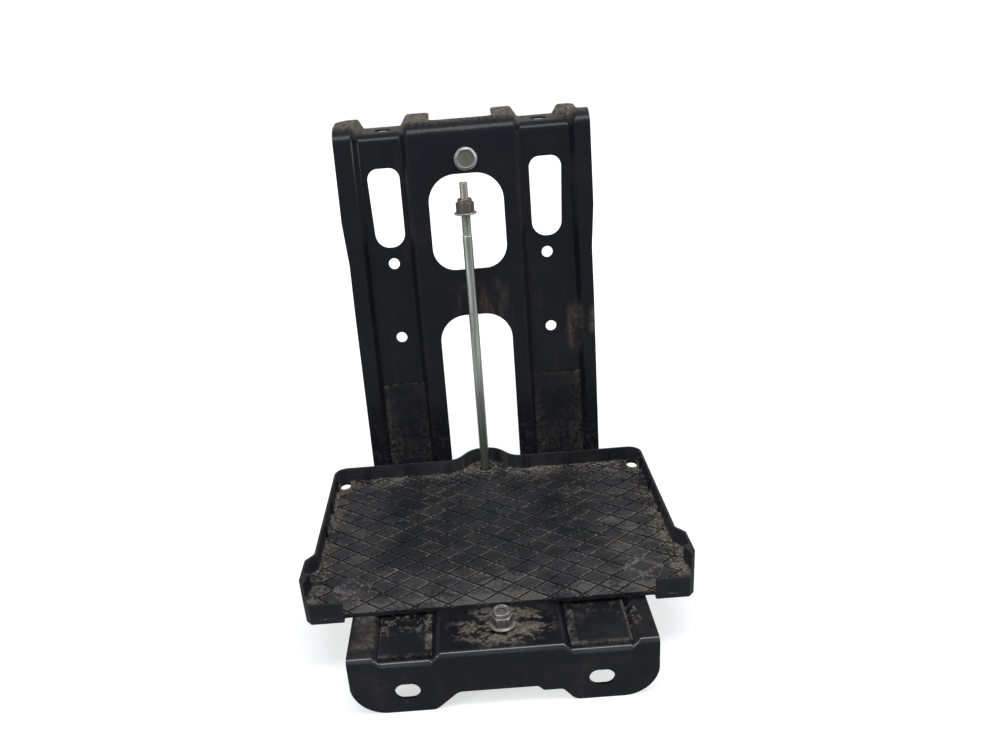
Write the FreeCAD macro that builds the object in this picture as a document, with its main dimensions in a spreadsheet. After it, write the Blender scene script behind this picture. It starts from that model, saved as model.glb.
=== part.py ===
import FreeCAD, Part
import math
import os
import Sketcher
from FreeCAD import Vector

# Car battery tray: a pressed steel carrier with a moulded plastic tray, a hook rod and its fasteners.
# X runs across, Y from the front fixing face to the back, Z up, all in millimetres.
# The origin lies midway between the two front fixing slots, on the front face of the front flange.

doc = FreeCAD.newDocument("battery_carrier")
sheet = doc.addObject("Spreadsheet::Sheet", "Sizes")

SIZES = {
    # pressed carrier, seen from the side
    "steel": 2.0,
    "shelf_height": 28.2,
    "shelf_depth": 238.8,
    "fold_height": 158.8,
    "panel_height": 308.4,
    "lean_low": 4.0,
    "lean_high": 7.9,
    "top_slope": 8.0,
    "top_length": 46.0,
    "front_radius": 4.0,
    "foot_radius": 2.0,
    "channel_foot_radius": 10.0,
    "top_radius": 17.0,
    # its width
    "front_width": 205.0,
    "panel_width": 207.2,
    "top_width": 212.5,
    "widening_start": 198.8,
    "widening_end": 234.8,
    # its two channels
    "shelf_channel_depth": 5.0,
    "panel_channel_depth": 7.0,
    "channel_wall": 5.0,
    "ridge_round": 3.0,
    "channel_round": 1.5,
    "left_lobe_lean": 5.0,
    "right_lobe_lean": 16.0,
    "left_channel_inner_front": 47.2,
    "left_channel_outer_front": 80.8,
    "left_channel_inner": 51.2,
    "left_channel_outer": 86.2,
    "right_channel_inner_front": 45.7,
    "right_channel_outer_front": 84.6,
    "right_channel_inner": 48.8,
    "right_channel_outer": 88.8,
    # front flange
    "lobe_drop": 17.0,
    "middle_drop": 3.6,
    "step_drop": 7.4,
    "lobe_outer": 102.7,
    "lobe_outer_round": 24.0,
    "lobe_inner": 46.5,
    "lobe_rise": 31.0,
    "lobe_round": 8.0,
    "step_start": 22.0,
    "step_end": 38.5,
    "slot_spacing": 129.0,
    "slot_length": 17.0,
    "slot_width": 12.0,
    # panel openings
    "upper_width": 63.0,
    "upper_bottom": 188.3,
    "upper_top": 267.1,
    "upper_top_round": 23.0,
    "upper_bottom_round": 19.0,
    "lower_width": 62.5,
    "lower_top": 149.2,
    "lower_top_round": 23.0,
    "lower_front": 228.0,
    "lower_front_round": 10.0,
    "side_slot_inner": 54.4,
    "side_slot_outer_top": 82.0,
    "side_slot_outer_bottom": 79.2,
    "side_slot_bottom": 209.8,
    "side_slot_top": 275.3,
    "side_slot_top_round": 9.0,
    "side_slot_bottom_round": 12.0,
    "panel_hole": 9.5,
    "panel_hole_spacing": 132.0,
    "panel_hole_high": 196.2,
    "panel_hole_low": 131.5,
    # top flange
    "top_hole_spacing": 132.0,
    "top_hole_length": 14.0,
    "top_hole_width": 10.0,
    "top_hole_back": 22.2,
    "channel_flange_back": 33.7,
    "ridge_flange_back": 37.7,
    "tab_flange_back": 42.7,
    "notch_flange_back": 11.7,
    "notch_half": 26.5,
    "outer_lobe_half": 97.0,
    "cut_ridge_back": 14.0,
    "flange_corner_round": 14.0,
    "flange_round": 5.0,
    # stiffeners
    "stiffener_thickness": 2.0,
    "stiffener_start": 4.5,
    "stiffener_top": 89.0,
    "stiffener_lap": 1.1,
    # plastic tray
    "tray_shift": 0.7,
    "tray_back": 236.4,
    "tray_back_half": 139.0,
    "tray_front_half": 136.3,
    "tray_corner_round": 11.0,
    "tray_wall": 2.0,
    "tray_floor": 3.5,
    "tray_height": 16.0,
    "ear_half": 143.5,
    "ear_rear_in": 102.0,
    "ear_rear": 94.5,
    "ear_front": 70.0,
    "ear_front_in": 44.0,
    "ear_front_half": 135.6,
    "tray_front": 39.5,
    "tray_front_corner": 131.5,
    "front_gap_half": 108.5,
    "floor_front": 44.2,
    "bulge_base": 26.0,
    "bulge_tip": 11.0,
    "bulge_depth": 20.0,
    "bulge_base_round": 16.0,
    "bulge_tip_round": 20.0,
    "diamond_x": 23.8,
    "diamond_y": 17.8,
    "groove_width": 1.7,
    "groove_depth": 1.0,
    "disc_radius": 13.8,
    "disc_x": 106.8,
    "disc_y": 71.6,
    "disc_line": 1.1,
    "disc_line_depth": 0.6,
    "drain_x": 130.5,
    "drain_y": 227.0,
    "drain_diameter": 9.5,
    "diamond_start": 117.7,
    "floor_margin": 0.6,
    "rib_pitch": 36.5,
    "rib_width": 1.6,
    "rib_depth": 1.6,
    "rib_drop": 1.0,
    "ear_boss_back": 79.5,
    "ear_boss_tip": 77.0,
    "ear_boss_front": 65.0,
    "ear_boss_depth": 4.6,
    "ring_outer": 20.0,
    "ring_wall": 1.5,
    "ring_height": 1.3,
    "rod_play": 1.2,
    # hook rod and fasteners
    "rod_diameter": 8.0,
    "rod_x": -1.5,
    "rod_y": 239.2,
    "rod_top": 264.0,
    "rod_step": 13.7,
    "stub_diameter": 6.7,
    "hook_radius": 8.0,
    "hook_drop": 14.0,
    "nut_base": 236.8,
    "nut_flats": 13.0,
    "nut_flange": 18.6,
    "nut_flange_height": 2.0,
    "nut_hex_height": 9.0,
    "nut_collar": 12.4,
    "nut_collar_height": 3.3,
    "thread_play": 0.1,
    "top_bolt_x": 2.0,
    "top_bolt_height": 278.5,
    "bolt_flange": 19.4,
    "bolt_flange_height": 2.0,
    "bolt_head_height": 6.5,
    "bolt_length": 16.0,
    "weld_nut_flats": 14.0,
    "weld_nut_height": 6.5,
    "front_stud_x": 1.5,
    "front_stud_y": 24.0,
    "stud_collar": 12.0,
    "stud_collar_height": 1.5,
    "stud_recess": 1.5,
    "stud_foot": 16.0,
    "stud_foot_thickness": 2.0,
    "stud_hole": 9.0,
    "bolt_hole": 9.0,
    "bolt_dish": 9.0,
    "bolt_dish_depth": 0.8,
    "weld_nut_chamfer": 0.95,
    "lock_nut_hex_height": 7.0,
    "lock_nut_collar_height": 2.6,
}

for row, (name, number) in enumerate(SIZES.items(), start=1):
    sheet.set("A%d" % row, name)
    sheet.set("B%d" % row, str(number))
    sheet.setAlias("B%d" % row, name)
doc.recompute()


class Dim:
    """A length that knows its number and the sheet formula that it comes from."""

    def __init__(self, value, text):
        self.value = float(value)
        self.text = text

    @staticmethod
    def of(other):
        if isinstance(other, Dim):
            return other
        return Dim(other, repr(float(other)))

    def _join(self, other, sign, value):
        return Dim(value, "(%s %s %s)" % (self.text, sign, Dim.of(other).text))

    def __add__(self, other):
        return self._join(other, "+", self.value + Dim.of(other).value)

    def __sub__(self, other):
        return self._join(other, "-", self.value - Dim.of(other).value)

    def __mul__(self, other):
        return self._join(other, "*", self.value * Dim.of(other).value)

    def __truediv__(self, other):
        return self._join(other, "/", self.value / Dim.of(other).value)

    def __radd__(self, other):
        return Dim.of(other) + self

    def __rsub__(self, other):
        return Dim.of(other) - self

    def __rmul__(self, other):
        return Dim.of(other) * self

    def __neg__(self):
        return self * -1.0


def size(name):
    """One driving size of the sheet."""
    return Dim(sheet.get(name), "Sizes." + name)


def tangent(angle):
    """The tangent of an angle that the sheet gives in degrees."""
    return Dim(math.tan(math.radians(angle.value)), "tan(%s * 1 deg)" % angle.text)


def root(number):
    return Dim(math.sqrt(number.value), "sqrt(%s)" % number.text)


def bind(feature, prop, dim):
    """Ties one property of a feature to the sheet."""
    feature.setExpression(prop, Dim.of(dim).text)


def place(feature, x=0.0, y=0.0, z=0.0, turn=None):
    """Puts a feature at a bound position, turned by a fixed rotation."""
    feature.Placement = FreeCAD.Placement(Vector(0, 0, 0), turn or FreeCAD.Rotation())
    bind(feature, "Placement.Base.x", x)
    bind(feature, "Placement.Base.y", y)
    bind(feature, "Placement.Base.z", z)


def box(name, length, width, height, x, y, z):
    """A block between X..X+length, Y..Y+width and Z..Z+height."""
    made = doc.addObject("Part::Box", name)
    bind(made, "Length", length)
    bind(made, "Width", width)
    bind(made, "Height", height)
    place(made, x, y, z)
    return made


def cylinder(name, radius, height, x, y, z, turn=None):
    """A round bar that stands on its place and points up, or along the turned axis."""
    made = doc.addObject("Part::Cylinder", name)
    bind(made, "Radius", radius)
    bind(made, "Height", height)
    place(made, x, y, z, turn)
    return made


def cone(name, radius_low, radius_high, height, x, y, z):
    made = doc.addObject("Part::Cone", name)
    bind(made, "Radius1", radius_low)
    bind(made, "Radius2", radius_high)
    bind(made, "Height", height)
    place(made, x, y, z)
    return made


def fuse(name, shapes):
    made = doc.addObject("Part::MultiFuse", name)
    made.Shapes = shapes
    made.Refine = True
    return made


def compound(name, shapes):
    made = doc.addObject("Part::Compound", name)
    made.Links = shapes
    return made


def cut(name, base, tool):
    made = doc.addObject("Part::Cut", name)
    made.Base = base
    made.Tool = tool
    made.Refine = True
    return made


def common(name, base, tool):
    made = doc.addObject("Part::Common", name)
    made.Base = base
    made.Tool = tool
    return made


# How a sketch is turned, which way it is extruded, and along which axis that is.
PLANES = {
    "XY": (FreeCAD.Rotation(), Vector(0, 0, 1), "z"),
    "XZ": (FreeCAD.Rotation(Vector(1, 0, 0), 90), Vector(0, 1, 0), "y"),
    "YZ": (FreeCAD.Rotation(Vector(1, 1, 1), 120), Vector(1, 0, 0), "x"),
}


def corner_tangents(before, at, after, radius):
    """Where a round of one radius meets the two sides of a corner, and its centre."""
    to_before = (before - at).normalize()
    to_after = (after - at).normalize()
    half = to_before.getAngle(to_after) / 2
    reach = radius / math.tan(half)
    bisector = (to_before + to_after).normalize()
    centre = at + bisector * (radius / math.sin(half))
    return at + to_before * reach, at + to_after * reach, centre


def outline(name, corners, plane="XY"):
    """A closed sketch of straight sides through (x, y, radius) corners, with round corners."""
    sketch = doc.addObject("Sketcher::SketchObject", name)
    count = len(corners)
    points = [Vector(Dim.of(x).value, Dim.of(y).value, 0) for x, y, radius in corners]
    arrive, leave, centres = [], [], []
    for i, (x, y, radius) in enumerate(corners):
        if radius is None:
            arrive.append(points[i])
            leave.append(points[i])
            centres.append(None)
        else:
            ends = corner_tangents(points[i - 1], points[i], points[(i + 1) % count], radius.value)
            arrive.append(ends[0])
            leave.append(ends[1])
            centres.append(ends[2])
    lines = []
    for i in range(count):
        lines.append(sketch.addGeometry(Part.LineSegment(leave[i], arrive[(i + 1) % count]), False))
    for i, (x, y, radius) in enumerate(corners):
        before = lines[i - 1]
        after = lines[i]
        if radius is None:
            sketch.addConstraint(Sketcher.Constraint("Coincident", before, 2, after, 1))
            owner, spot = after, 1
        else:
            start = arrive[i] - centres[i]
            end = leave[i] - centres[i]
            turns_left = start.cross(end).z > 0
            first, last = (start, end) if turns_left else (end, start)
            circle = Part.Circle(centres[i], Vector(0, 0, 1), radius.value)
            angles = [math.atan2(v.y, v.x) for v in (first, last)]
            arc = sketch.addGeometry(Part.ArcOfCircle(circle, angles[0], angles[1]), False)
            near, far = (1, 2) if turns_left else (2, 1)
            sketch.addConstraint(Sketcher.Constraint("Tangent", before, 2, arc, near))
            sketch.addConstraint(Sketcher.Constraint("Tangent", arc, far, after, 1))
            owner = sketch.addGeometry(Part.Point(points[i]), True)
            spot = 1
            sketch.addConstraint(Sketcher.Constraint("PointOnObject", owner, 1, before))
            sketch.addConstraint(Sketcher.Constraint("PointOnObject", owner, 1, after))
            held = sketch.addConstraint(Sketcher.Constraint("Radius", arc, radius.value))
            sketch.setExpression("Constraints[%d]" % held, radius.text)
        for kind, number in (("DistanceX", x), ("DistanceY", y)):
            number = Dim.of(number)
            if abs(number.value) < 1e-9:
                on_axis = "PointOnObject"
                line = -2 if kind == "DistanceX" else -1
                sketch.addConstraint(Sketcher.Constraint(on_axis, owner, spot, line))
                continue
            held = sketch.addConstraint(Sketcher.Constraint(kind, -1, 1, owner, spot, number.value))
            sketch.setExpression("Constraints[%d]" % held, number.text)
    sketch.Placement = FreeCAD.Placement(Vector(0, 0, 0), PLANES[plane][0])
    return sketch


def extrude(name, sketch, start, length, plane="XY"):
    """A prism on a sketch, of one length from one start along the plane's normal."""
    turn, along, letter = PLANES[plane]
    made = doc.addObject("Part::Extrusion", name)
    made.Base = sketch
    made.DirMode = "Custom"
    made.Dir = along
    made.Solid = True
    bind(made, "LengthFwd", length)
    bind(made, "Placement.Base." + letter, start)
    return made


def rounded(half_width, low, high, low_round, high_round):
    """Corners of an upright rectangle that is symmetric about X = 0."""
    return [(-half_width, low, low_round), (half_width, low, low_round),
            (half_width, high, high_round), (-half_width, high, high_round)]


# Sizes that several pieces share.
steel = size("steel")
shelf = size("shelf_height")
fold_y = size("shelf_depth") + size("fold_height") * tangent(size("lean_low"))
fold_z = shelf + size("fold_height")
panel_rise = size("panel_height") - size("fold_height")
crown_y = fold_y + panel_rise * tangent(size("lean_high"))
crown_z = shelf + size("panel_height")


def panel_face(height):
    """Y of the panel's ridge face at a height above the shelf, over the fold or under it."""
    if height.value < size("fold_height").value:
        return size("shelf_depth") + height * tangent(size("lean_low"))
    return fold_y + (height - size("fold_height")) * tangent(size("lean_high"))


# The pressing

class Stretch:
    """One straight stretch of the folded sheet, seen from the side, as a point and a direction."""

    def __init__(self, y, z, lean, depth):
        self.point = Vector(0, y, z)
        self.run = Vector(0, math.cos(lean), math.sin(lean))
        self.out = Vector(0, -math.sin(lean), math.cos(lean))
        self.depth = depth

    def sunk(self, distance):
        return self.point - self.out * distance


def meeting(first, first_sunk, second, second_sunk):
    """The point where two stretches meet, each sunk by its own distance."""
    a, b = first.sunk(first_sunk), second.sunk(second_sunk)
    across = first.run.y * second.run.z - first.run.z * second.run.y
    gap = b - a
    along = (gap.y * second.run.z - gap.z * second.run.y) / across
    return a + first.run * along


def carrier_stretches():
    upright = math.radians(90)
    low = math.radians(90 - size("lean_low").value)
    high = math.radians(90 - size("lean_high").value)
    top = math.radians(size("top_slope").value)
    shelf_sunk = size("shelf_channel_depth").value
    panel_sunk = size("panel_channel_depth").value
    return [
        Stretch(0, 0, upright, 0.0),
        Stretch(0, shelf.value, 0.0, shelf_sunk),
        Stretch(size("shelf_depth").value, shelf.value, low, panel_sunk),
        Stretch(fold_y.value, fold_z.value, high, panel_sunk),
        Stretch(crown_y.value, crown_z.value, top, panel_sunk),
    ]


def bend(before, corner, after, radius):
    """The two ends of a bend and the middle of its arc."""
    start, end, centre = corner_tangents(before, corner, after, radius)
    middle = centre + (corner - centre).normalize() * radius
    return start, middle, end


def side_view(share, extra):
    """Points of the folded sheet at one share of the channel depth, sunk by an extra distance."""
    front, floor, low, high, top = carrier_stretches()
    sunk = [s.depth * share + extra for s in (front, floor, low, high, top)]
    start = front.sunk(sunk[0])
    start.z = -size("lobe_drop").value - steel.value
    nose = meeting(front, sunk[0], floor, sunk[1])
    foot = meeting(floor, sunk[1], low, sunk[2])
    waist = meeting(low, sunk[2], high, sunk[3])
    crown = meeting(high, sunk[3], top, sunk[4])
    end = top.sunk(sunk[4]) + top.run * size("top_length").value
    foot_plain = size("foot_radius").value
    foot_radius = foot_plain + (size("channel_foot_radius").value - foot_plain) * share
    crown_radius = size("top_radius").value - high.depth * share
    nose_bend = bend(start, nose, foot, size("front_radius").value - extra)
    foot_bend = bend(nose, foot, waist, foot_radius + extra)
    crown_bend = bend(waist, crown, end, crown_radius - extra)
    rise = crown - waist
    heights = [fold_at(rise, waist, size(name).value) for name in ("widening_start", "widening_end")]
    return start, nose_bend, foot_bend, waist, heights[0], heights[1], crown_bend, end


def fold_at(rise, waist, height):
    """The point of the upper panel at one height above the shelf."""
    share = (shelf.value + height - waist.z) / rise.z
    return waist + rise * share


def at(point, x):
    return Vector(x, point.y, point.z)


def station_edges(share, extra, x_front, x_panel, x_top, x_end):
    """The edges of the sheet along one line from the front flange to the top flange."""
    start, nose, foot, waist, low, high, crown, end = side_view(share, extra)
    straight = Part.LineSegment
    pieces = [
        straight(at(start, x_front), at(nose[0], x_front)),
        Part.Arc(*[at(p, x_front) for p in nose]),
        straight(at(nose[2], x_front), at(foot[0], x_panel)),
        Part.Arc(*[at(p, x_panel) for p in foot]),
        straight(at(foot[2], x_panel), at(waist, x_panel)),
        straight(at(waist, x_panel), at(low, x_panel)),
        straight(at(low, x_panel), at(high, x_top)),
        straight(at(high, x_top), at(crown[0], x_top)),
        Part.Arc(*[at(p, x_top) for p in crown]),
        straight(at(crown[2], x_top), at(end, x_end)),
    ]
    return [piece.toShape() for piece in pieces]


def wall_steps():
    """How a channel wall falls: distance from its ridge edge and share of the depth, step by step."""
    depth = size("panel_channel_depth").value
    width = size("channel_wall").value
    angle = math.atan2(depth, width)
    turns = 2

    def round_over(radius):
        """Steps along one round corner of the wall: distance past the corner, and drop."""
        bends = [angle * i / turns for i in range(turns + 1)]
        reach = radius * math.tan(angle / 2)
        return [(radius * math.sin(a) - reach, radius * (1 - math.cos(a)) / depth) for a in bends]

    high = round_over(size("ridge_round").value)
    low = round_over(size("channel_round").value)
    return high + [(width - distance, 1 - share) for distance, share in reversed(low)]


def stations():
    """Lines along the sheet from left to right: share of the channel depth and X at four places."""
    half = [size(name).value / 2 for name in ("front_width", "panel_width", "top_width")]
    wall = size("channel_wall").value
    steps = wall_steps()
    sides = {}
    for side in ("left", "right"):
        lines = []
        inner_front = size(side + "_channel_inner_front").value
        outer_front = size(side + "_channel_outer_front").value
        inner = size(side + "_channel_inner").value
        outer = size(side + "_channel_outer").value
        lean = size(side + "_lobe_lean").value
        for distance, share in steps:
            x = inner + distance - wall
            lines.append((share, inner_front + distance - wall, x, x, x))
        for distance, share in reversed(steps):
            x = outer + wall - distance
            lines.append((share, outer_front + wall - distance, x, x, x - lean))
        lines.append((0.0, half[0], half[1], half[2], half[2]))
        sides[side] = lines
    mirrored = [(line[0], *[-x for x in line[1:]]) for line in reversed(sides["left"])]
    return mirrored + sides["right"]


def folded_sheet():
    """The pressed blank as one solid, of ruled faces between neighbouring lines."""
    thick = steel.value
    lines = stations()
    fronts = [station_edges(line[0], 0.0, *line[1:]) for line in lines]
    backs = [station_edges(line[0], thick, *line[1:]) for line in lines]
    faces = []
    for i in range(len(lines) - 1):
        for side in (fronts, backs):
            for first, second in zip(side[i], side[i + 1]):
                faces.append(Part.makeRuledSurface(first, second))
        for which, vertex in ((0, 0), (-1, -1)):
            ends = [side[j][which].Vertexes[vertex].Point for side in (fronts, backs) for j in (i, i + 1)]
            front_edge = Part.makeLine(ends[0], ends[1])
            back_edge = Part.makeLine(ends[2], ends[3])
            faces.append(Part.makeRuledSurface(front_edge, back_edge))
    for i in (0, -1):
        for first, second in zip(fronts[i], backs[i]):
            faces.append(Part.makeRuledSurface(first, second))
    shell = Part.makeShell(faces)
    shell.sewShape()
    solid = Part.makeSolid(shell)
    if solid.Volume < 0:
        solid.reverse()
    return solid.removeSplitter()


blank = doc.addObject("Part::Feature", "pressed_blank")
blank.Shape = folded_sheet()

# Carrier: everything that is punched or trimmed out of the pressing

CLEAR = 12.0
WIDE = 118.0
lean = FreeCAD.Rotation(Vector(1, 0, 0), 90 - size("lean_high").value)


def mirror_left(corners):
    """The same corners on the other side of X = 0, in the order that closes the outline."""
    return [(-Dim.of(x), y, radius) for x, y, radius in reversed(corners)]


def slot(name, length, width, x, y, z, depth, turn):
    """An oblong cutter: its long side along X, its depth along the turned Z."""
    straight = length - width
    middle = box(name + "_middle", straight, width, depth, -(straight / 2), -(width / 2), 0.0)
    ends = [cylinder(name + "_end_%d" % i, width / 2, depth, straight * side, 0.0, 0.0)
            for i, side in enumerate((-0.5, 0.5))]
    made = fuse(name, [middle] + ends)
    place(made, x, y, z, turn)
    return made


def flange_trim():
    """The area below the wavy lower edge of the front flange, whose right side has a small step."""
    bottom = -size("lobe_drop")
    side_top = bottom + size("lobe_rise")
    curve = size("lobe_round")
    edge = size("lobe_outer")
    outer = [
        (WIDE, bottom - CLEAR, None),
        (WIDE, side_top, None),
        (edge, side_top, None),
        (edge, bottom, size("lobe_outer_round")),
        (size("lobe_inner"), bottom, curve),
    ]
    step = [
        (size("step_end"), -size("step_drop"), curve * 0.5),
        (size("step_start") + size("middle_drop"), -size("step_drop"), curve * 0.4),
        (size("step_start"), -size("middle_drop"), curve * 0.4),
    ]
    middle = [(-size("step_start") - CLEAR * 0.75, -size("middle_drop"), curve)]
    sketch = outline("flange_trim_outline", outer + step + middle + mirror_left(outer), "XZ")
    return extrude("flange_trim", sketch, -CLEAR / 2, CLEAR * 1.3, "XZ")


def top_trim():
    """The area behind the rear edge of the top flange, with its tabs and notches."""
    back = {key: crown_y + size(key + "_flange_back") for key in ("channel", "ridge", "tab", "notch")}
    far = crown_y + size("top_length") + CLEAR
    small = size("flange_round")
    edge = size("top_width") / 2 + 0.8
    near = crown_y + size("cut_ridge_back")
    wall = size("channel_wall")
    left_out = size("left_channel_outer") + wall
    left_in = size("left_channel_inner") - wall
    right_in = size("right_channel_inner") - wall
    lobe = size("outer_lobe_half")
    corners = [
        (-WIDE, far, None),
        (-WIDE, back["ridge"] - CLEAR * 2, None),
        (-edge, back["ridge"] - CLEAR * 2, None),
        (-edge, back["ridge"], size("flange_corner_round")),
        (-left_out + size("left_lobe_lean") * 0.8, back["ridge"], small),
        (-size("left_channel_outer") + size("left_lobe_lean") * 0.8, back["channel"], small),
        (-size("left_channel_inner"), back["channel"], small),
        (-left_in, back["tab"], small),
        (-size("notch_half"), back["tab"], small),
        (-size("notch_half"), back["notch"], small),
        (size("notch_half"), back["notch"], small),
        (size("notch_half"), back["tab"], small),
        (right_in, back["tab"], small),
        (size("right_channel_inner"), back["channel"], small),
        (lobe, back["channel"] + 1.0, small * 1.4),
        (lobe, near, small * 0.6),
        (WIDE, near, None),
        (WIDE, far, None),
    ]
    corners.reverse()
    sketch = outline("top_trim_outline", corners)
    return extrude("top_trim", sketch, crown_z - CLEAR * 2, CLEAR * 4)


def panel_openings():
    """Cutters for the two middle openings and the two tall side slots."""
    behind = size("shelf_depth") - CLEAR
    depth = CLEAR * 6
    upper = rounded(size("upper_width") / 2, shelf + size("upper_bottom"), shelf + size("upper_top"),
                    size("upper_bottom_round"), size("upper_top_round"))
    lower = rounded(size("lower_width") / 2, shelf + CLEAR * 0.5, shelf + size("lower_top"),
                    None, size("lower_top_round"))
    floor = rounded(size("lower_width") / 2, size("lower_front"), size("shelf_depth") + CLEAR * 2,
                    size("lower_front_round"), None)
    tall = [
        (size("side_slot_inner"), shelf + size("side_slot_bottom"), size("side_slot_bottom_round")),
        (size("side_slot_outer_bottom"), shelf + size("side_slot_bottom"), size("side_slot_bottom_round")),
        (size("side_slot_outer_top"), shelf + size("side_slot_top"), size("side_slot_top_round")),
        (size("side_slot_inner"), shelf + size("side_slot_top"), size("side_slot_top_round")),
    ]
    tall_left = [tall[i] for i in (1, 0, 3, 2)]
    tall_left = [(-x, y, radius) for x, y, radius in tall_left]
    cutters = [
        extrude("upper_opening", outline("upper_outline", upper, "XZ"), behind, depth, "XZ"),
        extrude("lower_opening", outline("lower_outline", lower, "XZ"), behind, depth, "XZ"),
        extrude("floor_opening", outline("floor_outline", floor), shelf - CLEAR, CLEAR * 2),
        extrude("right_slot", outline("right_slot_outline", tall, "XZ"), behind, depth, "XZ"),
        extrude("left_slot", outline("left_slot_outline", tall_left, "XZ"), behind, depth, "XZ"),
    ]
    back = FreeCAD.Rotation(Vector(1, 0, 0), -90)
    for level in ("high", "low"):
        for side in (-0.5, 0.5):
            name = "panel_hole_%s_%s" % (level, "left" if side < 0 else "right")
            x = size("panel_hole_spacing") * side
            z = shelf + size("panel_hole_" + level)
            cutters.append(cylinder(name, size("panel_hole") / 2, depth, x, behind, z, back))
    return cutters


def fixing_slots():
    """Cutters for the slots of the front flange and the top flange, and the two bolt holes."""
    along_y = FreeCAD.Rotation(Vector(1, 0, 0), -90)
    found = []
    for side in (-0.5, 0.5):
        name = "left" if side < 0 else "right"
        found.append(slot("front_slot_" + name, size("slot_length"), size("slot_width"),
                          size("slot_spacing") * side, -CLEAR / 2, 0.0, Dim.of(CLEAR), along_y))
        y = crown_y + size("top_hole_back")
        found.append(slot("top_slot_" + name, size("top_hole_length"), size("top_hole_width"),
                          size("top_hole_spacing") * side, y, crown_z - CLEAR * 2, Dim.of(CLEAR * 4), None))
    found.append(cylinder("stud_hole", size("stud_hole") / 2, CLEAR, size("front_stud_x"),
                          size("front_stud_y"), shelf - CLEAR / 2))
    y = bolt_seat_y - CLEAR * 0.5 * math.cos(math.radians(size("lean_high").value))
    z = bolt_seat_z + CLEAR * 0.5 * math.sin(math.radians(size("lean_high").value))
    into = FreeCAD.Rotation(Vector(1, 0, 0), -90 - size("lean_high").value)
    found.append(cylinder("bolt_hole", size("bolt_hole") / 2, CLEAR, size("top_bolt_x"), y, z, into))
    return found


bolt_seat_y = panel_face(size("top_bolt_height"))
bolt_seat_z = shelf + size("top_bolt_height")
cutters = [flange_trim(), top_trim()] + panel_openings() + fixing_slots()
carrier = cut("carrier", blank, compound("carrier_cutters", cutters))
carrier.Refine = False


# Stiffeners: one L-shaped strip in each channel, from the front of the shelf up the panel

def stiffener(side, sign):
    """A strip that fills the floor of one channel: a bent bar, cut to fit by the carrier's own faces."""
    shelf_sunk = size("shelf_channel_depth")
    panel_sunk = size("panel_channel_depth")
    thick = size("stiffener_thickness")
    slope = tangent(size("lean_low"))
    stretch = root(slope * slope + 1.0)

    def corner(down, back, radius):
        return (size("shelf_depth") - down * slope + back * stretch, shelf - down, radius)

    def tip(back):
        rise = size("stiffener_top")
        return (size("shelf_depth") + rise * slope + back * stretch, shelf + rise, None)

    start = size("stiffener_start")
    radius = size("channel_foot_radius")
    inside = steel * 0.15
    profile = [
        (start, shelf - shelf_sunk - inside, None),
        corner(shelf_sunk + inside, panel_sunk + inside, radius),
        tip(panel_sunk + inside),
        tip(panel_sunk - thick),
        corner(shelf_sunk - thick, panel_sunk - thick, radius - thick),
        (start, shelf - shelf_sunk + thick, None),
    ]
    name = "stiffener_" + side
    bar = extrude(name + "_bar", outline(name + "_profile", profile, "YZ"), -WIDE, Dim.of(WIDE * 2), "YZ")
    lap = size("stiffener_lap")
    depth = size("shelf_depth")
    inner = [size(side + "_channel_inner" + end) - lap for end in ("_front", "")]
    outer = [size(side + "_channel_outer" + end) + lap for end in ("_front", "")]
    plan = [
        (inner[0], 0.0, None),
        (outer[0], 0.0, None),
        (outer[1], depth, None),
        (outer[1], depth + CLEAR * 3, None),
        (inner[1], depth + CLEAR * 3, None),
        (inner[1], depth, None),
    ]
    if sign < 0:
        plan = [(-x, y, radius) for x, y, radius in reversed(plan)]
    block = extrude(name + "_block", outline(name + "_plan", plan), 0.0, size("panel_height"))
    return cut(name, common(name + "_piece", bar, block), blank)


stiffener_left = stiffener("left", -1)
stiffener_right = stiffener("right", 1)


# Plastic tray, drawn about its own middle and underside, then set on the shelf

middle = size("rod_x") - size("tray_shift")


def tray_half(side, inset):
    """The right or left side of the tray's outline, from the bulge at the back to the front."""
    wall = inset * size("tray_wall")
    back = size("tray_back") - wall
    corner = size("tray_corner_round") - wall
    flank = wall * 0.55
    points = [
        (middle + side * (size("bulge_tip") - flank), back + size("bulge_depth"), size("bulge_tip_round") - wall),
        (middle + side * (size("bulge_base") - flank), back, size("bulge_base_round") + wall),
        (side * (size("tray_back_half") - wall), back, corner),
        (side * (size("tray_back_half") - wall - 1.6), size("ear_rear_in") - wall * 0.3, Dim.of(3.0)),
        (side * (size("ear_half") - wall), size("ear_rear") - wall * 0.6, Dim.of(3.0)),
    ]
    if inset:
        points.append((side * (size("ear_half") - wall), size("ear_boss_back"), Dim.of(1.0)))
        points.append((side * (size("ear_half") - wall - size("ear_boss_depth")), size("ear_boss_tip"), Dim.of(0.8)))
        points.append((side * (size("ear_half") - wall * 1.8), size("ear_boss_front"), Dim.of(3.0)))
    else:
        points.append((side * size("ear_half"), size("ear_front"), Dim.of(5.0)))
    points.append((side * (size("ear_front_half") - wall), size("ear_front_in") + wall * 0.3, Dim.of(3.0)))
    points.append((side * (size("tray_front_corner") - wall * 0.5), size("tray_front") + wall, Dim.of(2.5)))
    return points


def tray_outline(name, inset):
    """The tray's outer outline, or its cavity's, which runs out at the open front."""
    right = tray_half(1.0, inset)
    left = tray_half(-1.0, inset)
    if inset:
        edge = size("front_gap_half") - size("tray_wall") * 2
        front = [(edge, size("tray_front") + size("tray_wall"), None), (edge, size("tray_front") - CLEAR, None)]
    else:
        edge = size("front_gap_half")
        front = [(edge, size("tray_front"), None), (edge, size("floor_front"), None)]
    right = right + front
    left = left + [(-x, y, radius) for x, y, radius in front]
    corners = list(reversed(right)) + left
    return outline(name, corners)


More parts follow.
